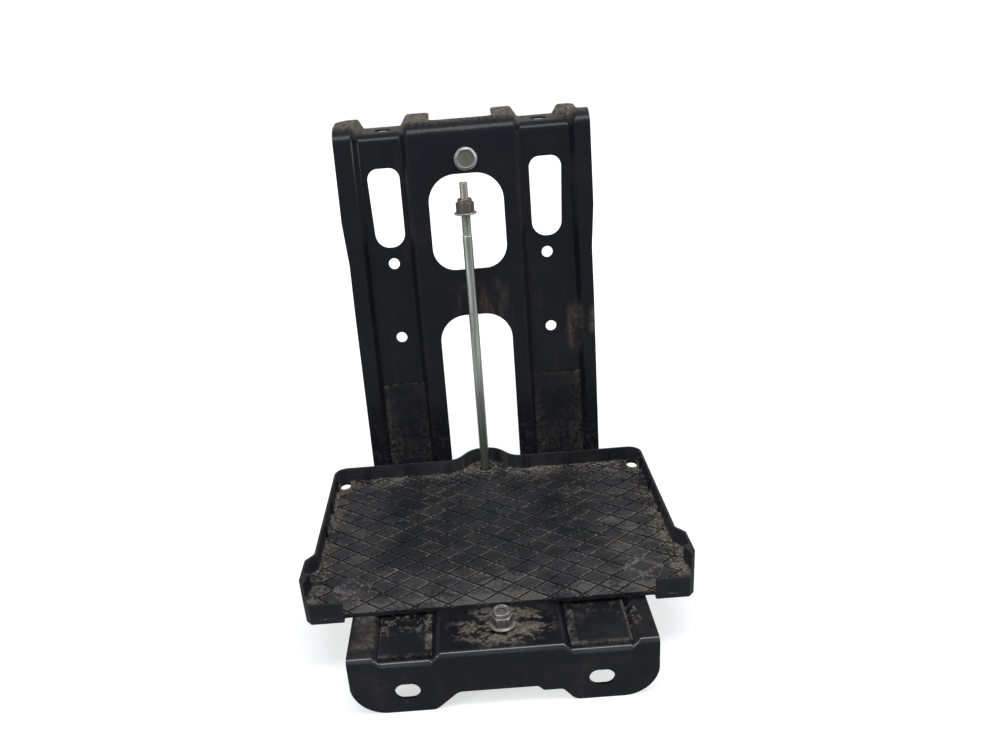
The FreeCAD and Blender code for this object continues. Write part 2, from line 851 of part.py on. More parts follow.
def grooves(sign):
    """The narrow grooves in one direction that part the floor into raised diamonds."""
    ratio = size("diamond_y") / size("diamond_x")
    angle = math.atan(ratio.value)
    width = size("groove_width")
    depth = size("groove_depth")
    turn = FreeCAD.Rotation(Vector(0, 0, 1), sign * math.degrees(angle))
    half = 210.0
    found = []
    for i in range(-17, 17):
        name = "groove_%s_%d" % ("up" if sign > 0 else "down", i + 17)
        bar = doc.addObject("Part::Box", name)
        bind(bar, "Length", Dim.of(half * 2))
        bind(bar, "Width", width)
        bind(bar, "Height", depth + 1.0)
        y = size("diamond_start") + size("diamond_y") * (i + 0.5)
        x = width * (sign * math.sin(angle) / 2) - half * math.cos(angle)
        place(bar, x, y - width * (math.cos(angle) / 2) - sign * half * math.sin(angle),
              size("tray_floor") - depth, turn)
        found.append(bar)
    return found


def floor_area():
    """Where the floor is patterned: inside a margin, and clear of the bare discs."""
    margin = size("floor_margin")
    far = size("tray_back") - size("tray_wall") - margin
    near = size("floor_front") - 1.0
    side = size("tray_back_half") - size("tray_wall") - margin - 3.0
    base = size("tray_floor") - size("groove_depth")
    field = box("pattern_field", side * 2, far - near, 1.0 + size("groove_depth"), -side, near, base)
    holes = []
    for sign in (-1.0, 1.0):
        name = "left" if sign < 0 else "right"
        holes.append(cylinder("disc_clear_" + name, size("disc_radius") + 0.8, Dim.of(6.0),
                              size("disc_x") * sign, size("disc_y"), 0.0))
        holes.append(cylinder("drain_clear_" + name, size("drain_diameter") * 0.95, Dim.of(6.0),
                              size("drain_x") * sign, size("drain_y"), 0.0))
    holes.append(cylinder("ring_clear", size("ring_outer") / 2 + 2.0, Dim.of(6.0), middle, size("rod_y"), 0.0))
    return cut("pattern_area", field, compound("pattern_gaps", holes))


def tray_ribs():
    """Short upright ribs on the inside of the walls."""
    width = size("rib_width")
    deep = size("rib_depth") + size("tray_wall") / 2
    floor = size("tray_floor") - size("groove_depth")
    height = size("tray_height") - size("rib_drop") - floor
    pitch = size("rib_pitch")
    found = []
    for side in (-1.0, 1.0):
        name = "left" if side < 0 else "right"
        for i in range(3):
            x = pitch * side * (i + 1) - width / 2
            back = size("tray_back") - size("tray_wall") / 2 - deep
            found.append(box("back_rib_%s_%d" % (name, i), width, deep, height, x, back, floor))
        for i in range(3):
            y = size("tray_back") - 21.0 - pitch * i
            inner = size("tray_back_half") - size("tray_wall") - size("rib_depth") - 0.6 - 0.35 * i
            x = inner if side > 0 else -inner - deep
            found.append(box("side_rib_%s_%d" % (name, i), deep, width, height, x, y, floor))
    return found


def tray_parts():
    body = extrude("tray_block", tray_outline("tray_outer", 0), 0.0, size("tray_height"))
    cavity = extrude("tray_cavity", tray_outline("tray_inner", 1), size("tray_floor"), size("tray_height"))
    shell = cut("tray_shell", body, cavity)
    ring = cylinder("ring", size("ring_outer") / 2, size("tray_floor") + size("ring_height"),
                    middle, size("rod_y"), 0.0)
    solid = fuse("tray_solid", [shell, ring] + tray_ribs())
    area = floor_area()
    for sign in (-1, 1):
        way = "up" if sign > 0 else "down"
        pattern = common("pattern_" + way, compound("lines_" + way, grooves(sign)), area)
        solid = cut("tray_grooved_" + way, solid, pattern)
        solid.Refine = False
    gaps = []
    gaps.append(cylinder("rod_hole", size("rod_diameter") / 2 + size("rod_play"), Dim.of(30.0),
                         middle, size("rod_y"), -CLEAR))
    gaps.append(cylinder("ring_inside", size("ring_outer") / 2 - size("ring_wall"), Dim.of(30.0),
                         middle, size("rod_y"), size("tray_floor")))
    for sign in (-1.0, 1.0):
        name = "left" if sign < 0 else "right"
        radius = size("drain_diameter") / 2
        for i, step in enumerate((-0.25, 0.25)):
            gaps.append(cylinder("drain_%s_%d" % (name, i), radius, Dim.of(30.0), size("drain_x") * sign,
                                 size("drain_y") + size("drain_diameter") * step, -CLEAR))
        gaps.append(box("drain_%s_middle" % name, radius * 2, radius, Dim.of(30.0),
                        size("drain_x") * sign - radius, size("drain_y") - radius * 0.5, -CLEAR))
        low = size("tray_floor") - size("disc_line_depth")
        x = size("disc_x") * sign
        outer = cylinder("disc_outer_" + name, size("disc_radius"), Dim.of(5.0), x, size("disc_y"), low)
        inner = cylinder("disc_inner_" + name, size("disc_radius") - size("disc_line"), Dim.of(5.0),
                         x, size("disc_y"), low)
        gaps.append(cut("disc_ring_" + name, outer, inner))
    return solid, gaps


tray_body, tray_gaps = tray_parts()
tray = cut("tray", tray_body, compound("tray_cutters", tray_gaps))
tray.Refine = False
place(tray, size("tray_shift"), 0.0, shelf)


# Hook rod and fasteners

def hexagon(name, flats, height, x, y, z, chamfer=0.95):
    """A six-sided block with its upper corners turned down."""
    prism = doc.addObject("Part::Prism", name + "_prism")
    prism.Polygon = 6
    bind(prism, "Circumradius", flats / math.sqrt(3))
    bind(prism, "Height", height)
    place(prism, x, y, z)
    face = flats / 2 * chamfer
    turned = cone(name + "_turned", face + height * math.sqrt(3), face, height, x, y, z)
    return common(name, prism, turned)


def hook_rod():
    """A round rod with a threaded neck and a hook that holds the rear edge of the shelf."""
    radius = size("rod_diameter") / 2
    bend_radius = size("hook_radius")
    x = size("rod_x")
    y = size("rod_y")
    low = shelf - steel - size("hook_drop")
    top = shelf + size("rod_top")
    step = top - size("rod_step")
    shank = cylinder("rod_shank", radius, step - low, x, y, low)
    stub = cylinder("rod_stub", size("stub_diameter") / 2, top - step, x, y, step)
    front = cylinder("rod_tip", radius, size("hook_drop"), x, y - bend_radius * 2, low)
    bend_ring = doc.addObject("Part::Torus", "rod_bend")
    bind(bend_ring, "Radius1", bend_radius)
    bind(bend_ring, "Radius2", radius)
    bend_ring.Angle3 = 180
    turn = FreeCAD.Rotation(Vector(0, 1, 0), Vector(0, 0, -1), Vector(-1, 0, 0), "XYZ")
    place(bend_ring, x, y - bend_radius, low, turn)
    return fuse("hook_rod", [shank, stub, front, bend_ring])


def flange_nut(name, x, y, z, hex_height, collar_height, collar_radius, bore):
    """A nut with a round flange below and a round collar on top."""
    flange_height = size("nut_flange_height")
    flange = cylinder(name + "_flange", size("nut_flange") / 2, flange_height, x, y, z)
    block = hexagon(name + "_hex", size("nut_flats"), hex_height + flange_height, x, y, z)
    collar = cylinder(name + "_collar", collar_radius, collar_height, x, y, z + flange_height + hex_height)
    body = fuse(name + "_body", [flange, block, collar])
    return cut(name, body, cylinder(name + "_bore", bore, Dim.of(60.0), x, y, z - CLEAR))


bore = size("rod_diameter") / 2 + size("thread_play")
rod = hook_rod()
rod_nut = flange_nut("rod_nut", size("rod_x"), size("rod_y"), shelf + size("nut_base"), size("nut_hex_height"),
                     size("nut_collar_height"), size("nut_collar") / 2, bore)

stud_x = size("front_stud_x")
stud_y = size("front_stud_y")
nut_seat = shelf + size("stud_collar_height")
nut_top = nut_seat + size("nut_flange_height") + size("lock_nut_hex_height") + size("lock_nut_collar_height")
stud_low = shelf - steel - size("stud_foot_thickness")
stud_bar = cylinder("stud_bar", size("rod_diameter") / 2, nut_top - size("stud_recess") - stud_low,
                    stud_x, stud_y, stud_low)
stud_foot = cylinder("stud_base", size("stud_foot") / 2, size("stud_foot_thickness"), stud_x, stud_y, stud_low)
front_stud = fuse("front_stud", [stud_bar, stud_foot])
front_washer = cut("front_washer",
                   cylinder("washer_body", size("stud_collar") / 2, size("stud_collar_height"),
                            stud_x, stud_y, shelf),
                   cylinder("washer_bore", bore, CLEAR, stud_x, stud_y, shelf - CLEAR / 2))
front_nut = flange_nut("front_nut", stud_x, stud_y, nut_seat, size("lock_nut_hex_height"),
                       size("lock_nut_collar_height"), size("nut_collar") / 2, bore)


def top_bolt():
    """A flanged bolt with a dished head, upright here and then laid against the panel."""
    flange_height = size("bolt_flange_height")
    head_height = size("bolt_head_height")
    flange = cone("bolt_flange", size("bolt_flange") / 2, size("bolt_flange") / 2 - 0.8, flange_height, 0, 0, 0)
    head = hexagon("bolt_head", size("nut_flats"), head_height, 0, 0, 0)
    shank = cylinder("bolt_shank", size("rod_diameter") / 2, size("bolt_length"), 0, 0, -size("bolt_length"))
    body = fuse("bolt_body", [flange, head, shank])
    dish = cylinder("bolt_dish", size("bolt_dish") / 2, size("bolt_dish_depth") + 1.0, 0, 0,
                    head_height - size("bolt_dish_depth"))
    return cut("top_bolt", body, dish)


def top_nut():
    """A hexagonal nut welded to the back of the panel, in the same place as the bolt."""
    height = size("weld_nut_height")
    body = hexagon("weld_body", size("weld_nut_flats"), height, 0, 0, -(steel + height), 1.2)
    return cut("top_nut", body, cylinder("weld_bore", bore, CLEAR * 2, 0, 0, -CLEAR * 2 + 1.0))


bolt = top_bolt()
nut = top_nut()
for feature in (bolt, nut):
    place(feature, size("top_bolt_x"), bolt_seat_y, bolt_seat_z, lean)

NODES = {
    "carrier": carrier,
    "stiffener_left": stiffener_left,
    "stiffener_right": stiffener_right,
    "tray": tray,
    "hook_rod": rod,
    "rod_nut": rod_nut,
    "top_bolt": bolt,
    "top_nut": nut,
    "front_stud": front_stud,
    "front_washer": front_washer,
    "front_nut": front_nut,
}

doc.recompute()

os.makedirs("parts", exist_ok=True)
for node, feature in NODES.items():
    feature.Label = node
for feature in doc.Objects:
    if "Invalid" in feature.State or "Error" in feature.State:
        raise ValueError("%s: %s" % (feature.Name, feature.State))
for node, feature in NODES.items():
    shape = feature.Shape
    if shape.isNull() or not shape.isValid():
        raise ValueError("%s has no valid shape" % node)
    if len(shape.Solids) != 1:
        raise ValueError("%s has %d solids" % (node, len(shape.Solids)))
    shape.exportStep("parts/%s.step" % node)
    bounds = shape.BoundBox
    print(node, round(shape.Volume), [round(v, 1) for v in (bounds.XMin, bounds.XMax, bounds.YMin,
                                                            bounds.YMax, bounds.ZMin, bounds.ZMax)])
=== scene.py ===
# %% [markdown]
# A used battery tray with its pressed steel carrier
#
# The real object is a black painted steel pressing with a plastic tray on it. A hook rod holds the
# battery down. The solid model is already exact, so this lesson loads it, gives each surface its own
# finish, and rebuilds in finer detail the few pieces whose threads and rounded edges catch the eye.

# %% Load the solid model
import math

import bmesh
import bpy
from mathutils import Matrix, Vector


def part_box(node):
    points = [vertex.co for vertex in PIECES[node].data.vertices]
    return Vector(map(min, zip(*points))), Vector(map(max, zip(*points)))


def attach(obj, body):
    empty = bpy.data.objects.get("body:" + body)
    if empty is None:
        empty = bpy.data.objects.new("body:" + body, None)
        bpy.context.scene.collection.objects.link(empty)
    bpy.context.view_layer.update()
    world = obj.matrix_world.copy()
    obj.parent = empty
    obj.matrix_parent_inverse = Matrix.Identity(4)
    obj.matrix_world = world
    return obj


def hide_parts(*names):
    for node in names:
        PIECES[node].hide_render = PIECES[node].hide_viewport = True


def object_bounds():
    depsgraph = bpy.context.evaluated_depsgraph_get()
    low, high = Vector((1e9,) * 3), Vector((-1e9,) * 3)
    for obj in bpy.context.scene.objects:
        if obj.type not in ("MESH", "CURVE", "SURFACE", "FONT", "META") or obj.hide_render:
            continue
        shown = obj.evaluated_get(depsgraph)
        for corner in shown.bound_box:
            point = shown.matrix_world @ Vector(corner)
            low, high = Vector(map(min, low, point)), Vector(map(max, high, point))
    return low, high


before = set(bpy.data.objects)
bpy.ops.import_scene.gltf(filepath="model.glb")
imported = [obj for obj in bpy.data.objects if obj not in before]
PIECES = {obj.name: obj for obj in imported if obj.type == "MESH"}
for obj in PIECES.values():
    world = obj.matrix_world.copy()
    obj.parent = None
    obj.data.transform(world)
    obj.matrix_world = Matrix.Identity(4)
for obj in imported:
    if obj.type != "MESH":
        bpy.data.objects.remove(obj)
solid_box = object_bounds()
MM = 0.001
print("nodes:", sorted(PIECES))


# %% [markdown]
# Shader maths as plain expressions
#
# A finish is a small calculation: dust lies where a face looks up, where noise is high, and so on.
# Written with nodes by hand that is a long list of links. A class that wraps one socket lets us write
# it as a sum instead, and each operator adds its own Math node.

# %% A socket that can be added and multiplied
class Socket:
    """One output of a node tree that takes part in expressions."""

    def __init__(self, tree, link):
        self.tree = tree
        self.link = link

    def _maths(self, operation, first, second, clamp=False):
        settings = {"operation": operation, "use_clamp": clamp}
        return self.tree.node("ShaderNodeMath", settings, first, second)

    def __add__(self, other):
        return self._maths("ADD", self, other)

    def __radd__(self, other):
        return self._maths("ADD", other, self)

    def __sub__(self, other):
        return self._maths("SUBTRACT", self, other)

    def __rsub__(self, other):
        return self._maths("SUBTRACT", other, self)

    def __mul__(self, other):
        return self._maths("MULTIPLY", self, other)

    def __rmul__(self, other):
        return self._maths("MULTIPLY", other, self)

    def __truediv__(self, other):
        return self._maths("DIVIDE", self, other)

    def __rtruediv__(self, other):
        return self._maths("DIVIDE", other, self)

    def clamp(self):
        """The same value, kept between 0 and 1."""
        return self._maths("ADD", self, 0.0, clamp=True)

    def smallest(self, other):
        return self._maths("MINIMUM", self, other)

    def largest(self, other):
        return self._maths("MAXIMUM", self, other)

    def size(self):
        """The value without its sign."""
        return self._maths("ABSOLUTE", self, 0.0)

    def fraction(self):
        """What is left above the whole number below."""
        return self._maths("FRACT", self, 0.0)

    def whole(self):
        """The whole number below."""
        return self._maths("FLOOR", self, 0.0)

    def ramp(self, low, high):
        """Rises smoothly from 0 at low to 1 at high, and falls where low is the larger."""
        rising = high > low
        ends = (low, high, 0.0, 1.0) if rising else (high, low, 1.0, 0.0)
        settings = {"interpolation_type": "SMOOTHSTEP"}
        return self.tree.node("ShaderNodeMapRange", settings, self, *ends)

    def between(self, low, high, soft):
        """1 between two values, with soft shoulders outside them."""
        return self.ramp(low - soft, low) * self.ramp(high + soft, high)


print("sockets can be added and multiplied")


# %% [markdown]
# One tree of nodes for each finish
#
# Every finish, and the sky too, is a tree of nodes that ends in one main shader. The nodes could be
# added one by one in each place. One method that adds any node keeps the finishes short, so they read
# as a list of what lies on the surface.

# %% A node tree and a finish
class Shading:
    """The node tree of a material or of the world, and its main shader."""

    def __init__(self, owner, shader):
        owner.use_nodes = True
        self.nodes = owner.node_tree.nodes
        self.links = owner.node_tree.links
        self.shader = self.nodes[shader]
        self.count = 0

    def node(self, kind, settings, *values, out=0, **named):
        """Adds a node: first its settings, then its inputs. Gives one output, or a list of them."""
        made = self.nodes.new(kind)
        self.count += 1
        made.location = (-220.0 * (1 + self.count % 12), -180.0 * (self.count // 12))
        for setting, value in settings.items():
            setattr(made, setting, value)
        for slot, value in list(enumerate(values)) + list(named.items()):
            self.feed(made.inputs[slot], value)
        if isinstance(out, tuple):
            return [Socket(self, made.outputs[which]) for which in out]
        return Socket(self, made.outputs[out])

    def feed(self, socket, value):
        """Links a socket to an expression, or sets it to a number or a colour; None leaves it."""
        if isinstance(value, Socket):
            self.links.new(value.link, socket)
        elif value is not None:
            if isinstance(value, tuple) and len(value) == 3 and len(socket.default_value) == 4:
                value = (*value, 1.0)
            socket.default_value = value

    def set(self, **inputs):
        """Feeds inputs of the main shader, whose names are written with _ for a blank."""
        for socket, value in inputs.items():
            self.feed(self.shader.inputs[socket.replace("_", " ")], value)

    def place(self):
        """Where a point is on the object, in millimetres."""
        spot = self.node("ShaderNodeTexCoord", {}, out="Object")
        return self.node("ShaderNodeVectorMath", {"operation": "SCALE"}, spot, Scale=1.0 / MM)

    def split(self, vector):
        """The X, Y and Z of a vector."""
        return self.node("ShaderNodeSeparateXYZ", {}, vector, out=(0, 1, 2))

    def facing(self):
        """How far the surface looks along X, Y and Z."""
        return self.split(self.node("ShaderNodeNewGeometry", {}, out="True Normal"))

    def noise(self, where, size_mm, detail=4.0, rough=0.55, stretch=(1.0, 1.0, 1.0)):
        """Cloudy noise from 0 to 1, whose lumps are about size_mm across."""
        scale = tuple(s / size_mm for s in stretch)
        moved = self.node("ShaderNodeVectorMath", {"operation": "MULTIPLY"}, where, scale)
        inputs = {"Vector": moved, "Scale": 1.0, "Detail": detail, "Roughness": rough}
        return self.node("ShaderNodeTexNoise", {}, **inputs)

    def specks(self, where, size_mm):
        """Distance to scattered points, about size_mm apart."""
        moved = self.node("ShaderNodeVectorMath", {"operation": "SCALE"}, where, Scale=1.0 / size_mm)
        return self.node("ShaderNodeTexVoronoi", {}, Vector=moved, Scale=1.0)

    def cell(self, across, along):
        """One chance value from 0 to 1 for each cell of a grid."""
        corner = self.node("ShaderNodeCombineXYZ", {}, across.whole(), along.whole(), 0.0)
        return self.node("ShaderNodeTexWhiteNoise", {}, Vector=corner)

    def mix(self, share, first, second):
        """A colour between two colours. A Mix node's two colours are its inputs 6 and 7."""
        skipped = [None] * 5
        return self.node("ShaderNodeMix", {"data_type": "RGBA"}, share, *skipped, first, second, out=2)

    def bump(self, height_mm, strength):
        """Turns a height in millimetres into a normal."""
        return self.node("ShaderNodeBump", {}, Strength=strength, Distance=MM, Height=height_mm)


class Finish(Shading):
    """A material with one main shader."""

    def __init__(self, name, **constants):
        self.material = bpy.data.materials.new(name)
        super().__init__(self.material, "Principled BSDF")
        self.set(**constants)


class Surface:
    """What a mask can be made of: where a point is, in millimetres, and the kinds of noise there."""

    def __init__(self, finish, **noises):
        self.where = finish.place()
        self.x, self.y, self.z = finish.split(self.where)
        for name, settings in noises.items():
            setattr(self, name, finish.noise(self.where, *settings))


UPRIGHT_STREAKS = (1.0, 1.0, 0.16)
print("a finish is ready to be filled")


# %% [markdown]
# Black paint on the pressing
#
# The carrier is dipped in a thin black paint that has a faint blue cast and shines most on the bends, and
# its front bend gets a pale painted highlight.
# After years under a bonnet, brown dust lies on whatever looks up: the top flange, the corners of the
# shelf and the panel under its fold. It could be painted onto an unwrapped image. A mask made from
# place, slope and noise needs no unwrapping and stays sharp in a close view, so that is used here.

# %% Dust on the parts of the pressing that look up
# Places are in millimetres, each from where its dust starts to where it is full or ends.
SHELF_Z = (19.0, 30.0)
CROWN_Y = (272.0, 287.0)
TOP_FLANGE_Z = (330.0, 335.0)
FRONT_NUT_X, FRONT_NUT_Y = 1.5, 24.0
NUT_PATCH_SQUARED = (620.0, 60.0)
NUT_PATCH_X = (50.0, 38.0)
LEFT_PATCH_X, LEFT_PATCH_Y = (-99.0, -86.0), (14.0, 46.0)
RIGHT_PATCH_X, RIGHT_PATCH_Y = (82.0, 92.0), (20.0, 46.0)


def squared(across, along):
    """Squared distance from two offsets."""
    return across * across + along * along


def top_flange_dust(at):
    """Thick dust behind the crown."""
    behind_crown = at.y.ramp(*CROWN_Y) * at.z.ramp(*TOP_FLANGE_Z)
    return behind_crown * (at.cloud * 0.6 + at.grain * 0.5).ramp(0.26, 0.60)


def front_nut_dust(finish, at):
    """A smeared patch round the front nut, wider than it is deep."""
    across, along = at.x - FRONT_NUT_X, at.y - FRONT_NUT_Y
    near_nut = (across * across * 0.35 + along * along).ramp(*NUT_PATCH_SQUARED)
    smear = finish.noise(at.where, 9.0, 5.0, 0.62, (0.8, 1.15, 1.0))
    lumps = (smear + at.grain * 0.30 + near_nut * 0.10).ramp(0.66, 0.76)
    return near_nut * at.x.size().ramp(*NUT_PATCH_X) * lumps


def shelf_dust(finish, at, shelf):
    """Patches in front of the tray, and a thin film over the whole shelf."""
    left = at.x.between(*LEFT_PATCH_X, 4.0) * at.y.between(*LEFT_PATCH_Y, 5.0)
    left = left * at.cloud.ramp(0.40, 0.60) * 0.45
    right = at.x.between(*RIGHT_PATCH_X, 4.0) * at.y.between(*RIGHT_PATCH_Y, 6.0)
    right = right * (at.cloud + at.grain).ramp(0.98, 1.20)
    patches = (front_nut_dust(finish, at) + left + right * 0.8).clamp()
    return shelf * (patches + at.cloud.ramp(0.42, 0.78) * 0.16)


print("top flange dust starts", CROWN_Y[0], "mm back")


# %% Dust on the upright parts of the pressing
FOLD_Z = (158.0, 172.0)
UNDER_FOLD_Z = (146.0, 168.0)
OVER_FOLD_Z = (168.0, 200.0)
FOLD_MIDDLE_X = 8.0
FOLD_MIDDLE_REACH = (34.0, 4.0)
CHANNEL_X = (44.0, 96.0)
INNER_WALL_X = (44.0, 56.0)
OUTER_WALL_X = (84.0, 91.0)
RIGHT_EDGE_X = (96.0, 100.0)
LOW_PANEL_Z = (110.0, 180.0)
HIGH_PANEL_Z = (190.0, 330.0)
FOOT_Y, FOOT_Z = (200.0, 235.0), (110.0, 45.0)
FRONT_FLANGE_Z = (20.0, 12.0)


def fold_dust(at):
    """Smudges where the panel folds: on the right wall, on its edge and between the channels."""
    wall = at.z.between(*UNDER_FOLD_Z, 16.0) * at.x.between(*OUTER_WALL_X, 5.0)
    wall = wall * (at.streak * 0.7 + at.fine * 0.3).ramp(0.34, 0.60) * 0.50
    edge = at.z.between(*FOLD_Z, 9.0) * at.x.ramp(*RIGHT_EDGE_X)
    edge = edge * (at.cloud * 0.5 + at.streak * 0.5).ramp(0.34, 0.60) * 0.5
    middle = at.z.between(*OVER_FOLD_Z, 12.0) * (at.x - FOLD_MIDDLE_X).size().ramp(*FOLD_MIDDLE_REACH)
    middle = middle * at.streak.ramp(0.40, 0.68) * 0.42
    return wall + edge + middle


def channel_dust(at):
    """Faint upright streaks in the channels and along their inner walls."""
    low = at.z.between(*LOW_PANEL_Z, 20.0) * at.x.size().between(*CHANNEL_X, 3.0)
    low = low * at.streak.ramp(0.50, 0.80) * 0.12
    corner = at.x.size().between(*INNER_WALL_X, 3.0) * at.z.between(*HIGH_PANEL_Z, 20.0)
    return low + corner * at.streak.ramp(0.5, 0.8) * 0.10


def end_dust(at):
    """Thin dust at the foot of the panel and on the front flange."""
    foot = at.z.ramp(*FOOT_Z) * at.y.ramp(*FOOT_Y)
    foot = foot * (at.grain * 0.6 + at.fine * 0.4).ramp(0.46, 0.66) * 0.16
    flange = at.z.ramp(*FRONT_FLANGE_Z) * (at.cloud * 0.6 + at.streak * 0.4).ramp(0.42, 0.74) * 0.13
    return foot + flange


print("the panel's fold is at", FOLD_Z[0], "mm")


# %% The carrier's finish
PAINT = (0.0056, 0.0058, 0.0092)
PAINT_WORN = (0.0150, 0.0142, 0.0155)
PAINT_FLECK = (0.055, 0.053, 0.052)
# A pale blue grey that is a painted highlight on the front bend.
NOSE_PAINTED_HIGHLIGHT = (0.036, 0.039, 0.048)
DUST = (0.070, 0.060, 0.050)
DUST_PALE = (0.185, 0.158, 0.125)
NOSE_Y, NOSE_Z = (12.0, 6.0), (15.0, 30.0)


def worn_paint_and_nose_highlight(finish, at, shelf, nose):
    """The paint's own colour, handled, scratched and flecked, with a painted highlight on the front bend.
    """
    handled = (at.cloud * 0.7 + at.fine * 0.4).ramp(0.52, 0.80)
    scratch = finish.noise(at.where, 5.0, 2.0, stretch=(0.12, 1.0, 1.4)).ramp(0.69, 0.73)
    scratch = scratch * at.grain.ramp(0.5, 0.6)
    fleck = finish.specks(at.where, 4.5).ramp(0.11, 0.05)
    fleck = fleck * at.grain.ramp(0.52, 0.60) * (1 - shelf) * 0.8
    base = finish.mix(handled * 0.55 + scratch * 0.35, PAINT, PAINT_WORN)
    base = finish.mix(fleck, base, PAINT_FLECK)
    # The front bend gets a painted highlight, broken up by noise.
    return finish.mix(nose * at.cloud.ramp(0.25, 0.60) * 0.5, base, NOSE_PAINTED_HIGHLIGHT)


def carrier_paint():
    finish = Finish("black_paint", IOR=1.5, Specular_IOR_Level=0.12, Coat_Roughness=0.10, Coat_IOR=1.4)
    at = Surface(finish, cloud=(34.0, 5.0), grain=(3.2, 3.0), fine=(0.9, 2.0),
                 streak=(9.0, 4.0, 0.55, UPRIGHT_STREAKS))
    face_y, face_z = finish.facing()[1:]
    shelf = at.z.between(*SHELF_Z, 2.0) * face_z.ramp(0.25, 0.95)
    bend = (face_z.size() * face_y.size()).ramp(0.15, 0.45)
    nose = bend * at.y.ramp(*NOSE_Y) * at.z.between(*NOSE_Z, 1.0)
    dust = top_flange_dust(at) + shelf_dust(finish, at, shelf)
    dust = (dust + fold_dust(at) + channel_dust(at) + end_dust(at)).clamp()
    height = at.fine * 0.012 + dust * (at.grain * 0.22 + at.fine * 0.10) + at.cloud * 0.05
    tone = finish.mix(at.grain.ramp(0.35, 0.7), DUST, DUST_PALE)
    finish.set(
        Base_Color=finish.mix(dust * 0.9, worn_paint_and_nose_highlight(finish, at, shelf, nose), tone),
        Roughness=0.21 + at.cloud * 0.10 + at.fine * 0.05 + dust * 0.5 - nose * 0.06,
        Coat_Weight=(0.16 + nose * 0.84 - dust * 0.9).clamp(),
        Normal=finish.bump(height, 0.8),
    )
    return finish.material


def paint(node, material):
    """Gives a solid of the frame its finish, in place of the plain one."""
    piece = PIECES[node]
    piece.data.materials.clear()
    piece.data.materials.append(material)
    print("finish", material.name, "on", node)


paint("carrier", carrier_paint())


# %% [markdown]
# Worn stiffening strips
#
# Two strips lie in the channels. Grit has ground under the tray's edge, so their front ends show bare
# chips, pale specks and tan dirt along the borders, while further up they are scuffed grey-black. One
# finish for both would wear them alike, so a function makes one for each, with its own middle line
# and its own share of chips.

# %% The strips' finish
STRIP_PAINT = (0.0065, 0.0068, 0.0085)
STRIP_SCUFFED = (0.018, 0.0172, 0.0172)
STRIP_CHIP = (0.20, 0.185, 0.165)
STRIP_FRONT_Y = (8.5, 5.0)
STRIP_ON_SHELF_Z = (34.0, 28.0)
STRIP_FOOT_Z = (105.0, 42.0)
STRIP_TOP_Z = (113.0, 117.5)
UNDER_TRAY_Y = (18.0, 33.0)
# A strip runs a little askew, so on each side it is this much narrower than its box.
STRIP_INSET = 2.5


def strip_dirt(at, to_side, half_width, chipped):
    """Dirt on a strip: along its borders, under the tray's edge and at both of its ends."""
    on_shelf = at.z.ramp(*STRIP_ON_SHELF_Z)
    lumps = at.grain + at.cloud * 0.5
    border = to_side.ramp(half_width - 4.0, half_width - 0.8)
    border = border * (at.cloud + at.grain * 0.6).ramp(0.66, 0.90)
    rear = at.y.ramp(*UNDER_TRAY_Y) * on_shelf
    ground = rear * (lumps + rear * 0.05).ramp(0.80, 0.90) * chipped
    front_edge = at.y.ramp(*STRIP_FRONT_Y) * lumps.ramp(0.62, 0.9) * on_shelf
    speckle = (at.grain * 0.6 + at.fine * 0.4).ramp(0.45, 0.63)
    low_down = at.z.ramp(*STRIP_FOOT_Z) * 0.5
    low_down = low_down + to_side.ramp(half_width - 12.0, half_width - 2.0) * 0.45
    up_panel = (1 - on_shelf) * (speckle * low_down * 0.42 + at.streak.ramp(0.5, 0.8) * 0.05)
    top_edge = at.z.ramp(*STRIP_TOP_Z) * at.grain.ramp(0.42, 0.65) * 0.30
    dirt = border * on_shelf * 0.75 + border * 0.12 + ground * 0.8 + front_edge * 0.55
    return (dirt + up_panel + top_edge).clamp()


def strip_paint(name, middle_x, half_width, chipped):
    finish = Finish(name, IOR=1.5, Specular_IOR_Level=0.14)
    at = Surface(finish, cloud=(16.0, 5.0), grain=(3.4, 5.0, 0.7), fine=(0.8, 2.0),
                 streak=(6.0, 4.0, 0.55, (1.0, 1.0, 0.15)))
    dirt = strip_dirt(at, (at.x - middle_x).size(), half_width, chipped)
    tone = finish.mix(at.fine.ramp(0.42, 0.62), DUST, STRIP_CHIP)
    base = finish.mix(at.cloud.ramp(0.4, 0.7) * 0.6, STRIP_PAINT, STRIP_SCUFFED)
    finish.set(
        Base_Color=finish.mix(dirt * 0.9, base, tone),
        Roughness=0.36 + at.cloud * 0.14 + dirt * 0.4,
        Normal=finish.bump(at.grain * 0.07 + at.fine * 0.03 + dirt * at.grain * 0.2, 0.8),
    )
    return finish.material


for side, chipped in (("left", 1.0), ("right", 0.25)):
    low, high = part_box("stiffener_" + side)
    middle_x = (low[0] + high[0]) / 2 / MM
    half_width = (high[0] - low[0]) / 2 / MM - STRIP_INSET
    paint("stiffener_" + side, strip_paint("strip_" + side, middle_x, half_width, chipped))


# %% [markdown]
# Moulded plastic tray
#
# The tray is black plastic whose diamonds have been rubbed darker under the battery and left grey and
# dusty around it. Grit collects where brush and cloth never reach: along the walls, in the ears and
# in the rear corners. The grooves are already in the solid, and could be found by their depth alone.
# The same two sets of lines are worked out here too, so each diamond gets its own tone and a painted
# highlight along its rim.

# %% Where grit collects in the tray
TRAY_SHIFT = 0.7
TRAY_HALF_WIDTH = 137.0
ROD_X, ROD_Y = -1.5, 239.2
DISC_X, DISC_Y = 106.8, 71.6
DISC_RIM = 13.8 ** 2
FLOOR_Z, PAD_Z, RIM_Z = (33.5, 32.5), (31.2, 31.6), (42.5, 44.0)
BATTERY_X = (118.0, 70.0)
BATTERY_FRONT_Y, BATTERY_BACK_Y = (66.0, 108.0), (236.0, 216.0)
BACK_WALL_Y = (212.0, 233.0)
EAR_X, EAR_Y = (122.0, 134.0), (104.0, 92.0)
SMEAR_X, SMEAR_Y = (50.0, 95.0), (70.0, 170.0)
FRONT_ROWS_Y = (60.0, 50.0)


